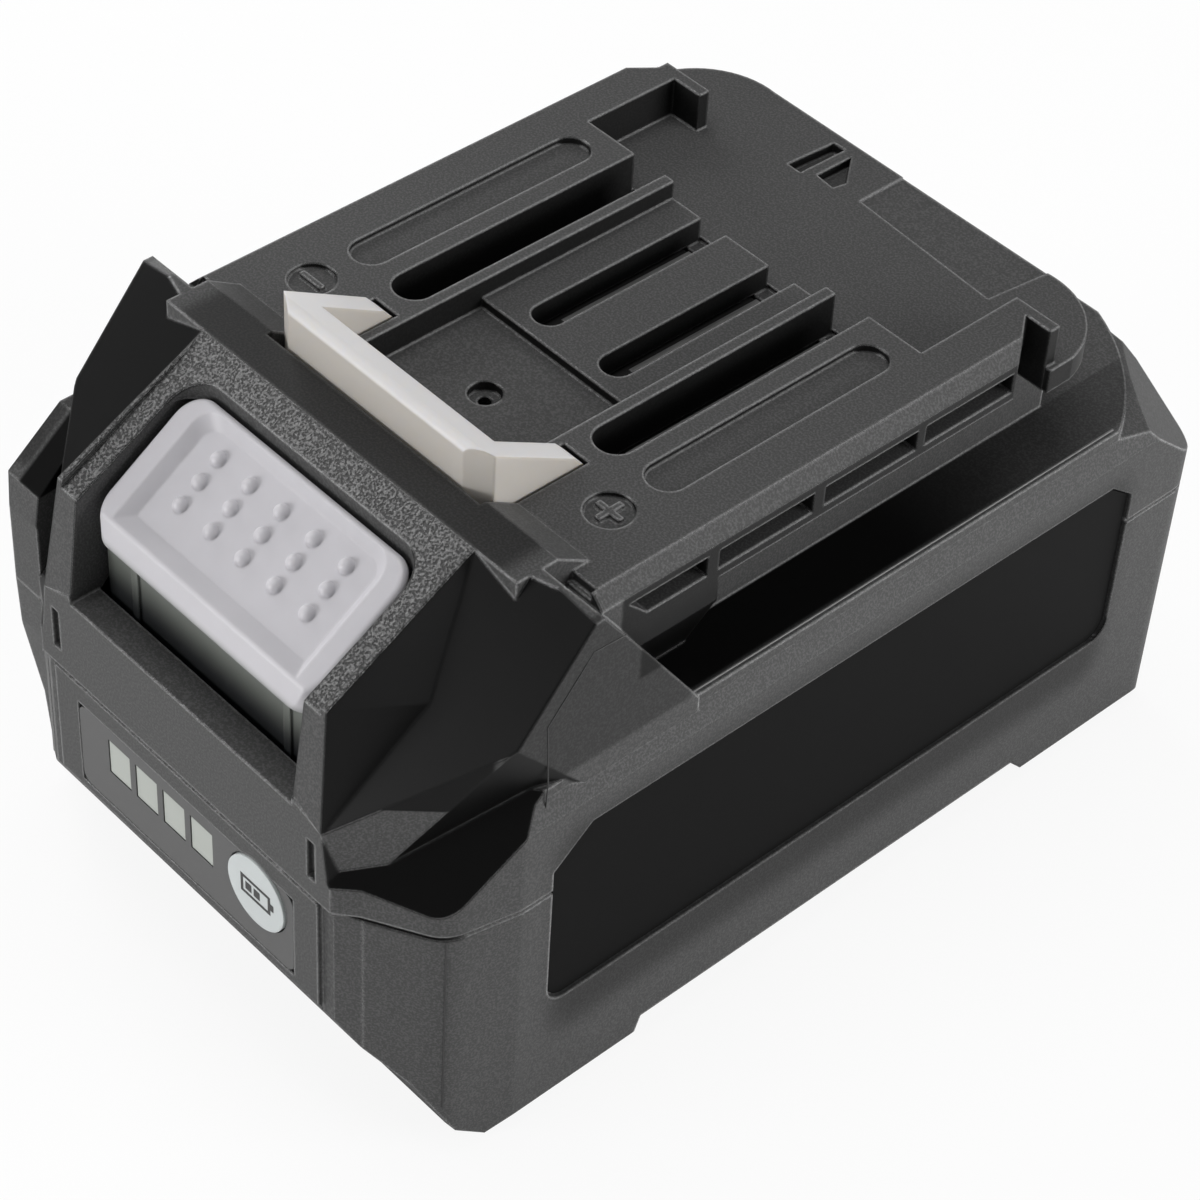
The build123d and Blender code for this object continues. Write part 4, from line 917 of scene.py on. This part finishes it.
def make_floor():
    """Pale paper. Most of what the camera sees of it is plain white, the rest takes the shadow."""
    shape = bmesh.new()
    bmesh.ops.create_grid(shape, x_segments=1, y_segments=1, size=floor_reach)
    mesh = bpy.data.meshes.new("floor")
    shape.to_mesh(mesh)
    shape.free()
    floor = bpy.data.objects.new("floor", mesh)
    floor.location.z = -floor_drop
    bpy.context.scene.collection.objects.link(floor)
    material, tree, shader = new_material("floor_paper")
    shader.inputs["Base Color"].default_value = floor_colour
    shader.inputs["Roughness"].default_value = 0.9
    light = make_node(tree, "ShaderNodeEmission")
    light.inputs["Color"].default_value = grey(1.0)
    seen = make_node(tree, "ShaderNodeLightPath").outputs["Is Camera Ray"]
    blend = make_node(tree, "ShaderNodeMixShader")
    feed(tree, blend.inputs["Fac"], product(tree, seen, floor_glow))
    feed(tree, blend.inputs[1], shader.outputs[0])
    feed(tree, blend.inputs[2], light.outputs[0])
    feed(tree, tree.nodes["Material Output"].inputs["Surface"], blend.outputs[0])
    mesh.materials.append(material)


make_floor()
print("Floor reaches", floor_reach, "m each way")

# %% Lamps
lamp_distance = 0.9
lamp_aim = Vector((0, 0, 40 * mm))

# Name, azimuth and elevation in degrees, width in metres, level
lamps = [
    ("front_lamp", -18, 5, 0.4, 0.72),
    ("left_lamp", -100, 15, 0.6, 0.65),
    ("right_lamp", 118, 10, 0.6, 1.1),
    ("top_lamp", -60, 80, 0.6, 0.5),
]


def make_lamp(name, azimuth, elevation, size, level):
    """A square soft lamp aimed at the pack. A level of 1 lights a facing wall as it is written."""
    back = direction(azimuth, elevation)
    data = bpy.data.lights.new(name, "AREA")
    data.size = size
    data.energy = level * (math.pi * lamp_distance) ** 2
    lamp = bpy.data.objects.new(name, data)
    bpy.context.scene.collection.objects.link(lamp)
    lamp.location = lamp_aim + back * lamp_distance
    lamp.rotation_mode = "QUATERNION"
    lamp.rotation_quaternion = (-back).to_track_quat("-Z", "Y")


for lamp in lamps:
    make_lamp(*lamp)
print("Lamps:", [lamp[0] for lamp in lamps])

# %% World
room_light = 0.22


def make_world():
    world = bpy.data.worlds.new("studio")
    bpy.context.scene.world = world
    world.use_nodes = True
    tree = world.node_tree
    background = tree.nodes["Background"]
    background.inputs["Color"].default_value = grey(1.0)
    seen = make_node(tree, "ShaderNodeLightPath").outputs["Is Camera Ray"]
    feed(tree, background.inputs["Strength"], mix_values(tree, seen, room_light, 1.0))


make_world()
bpy.context.scene.view_settings.view_transform = "Standard"
print("Room light:", room_light)
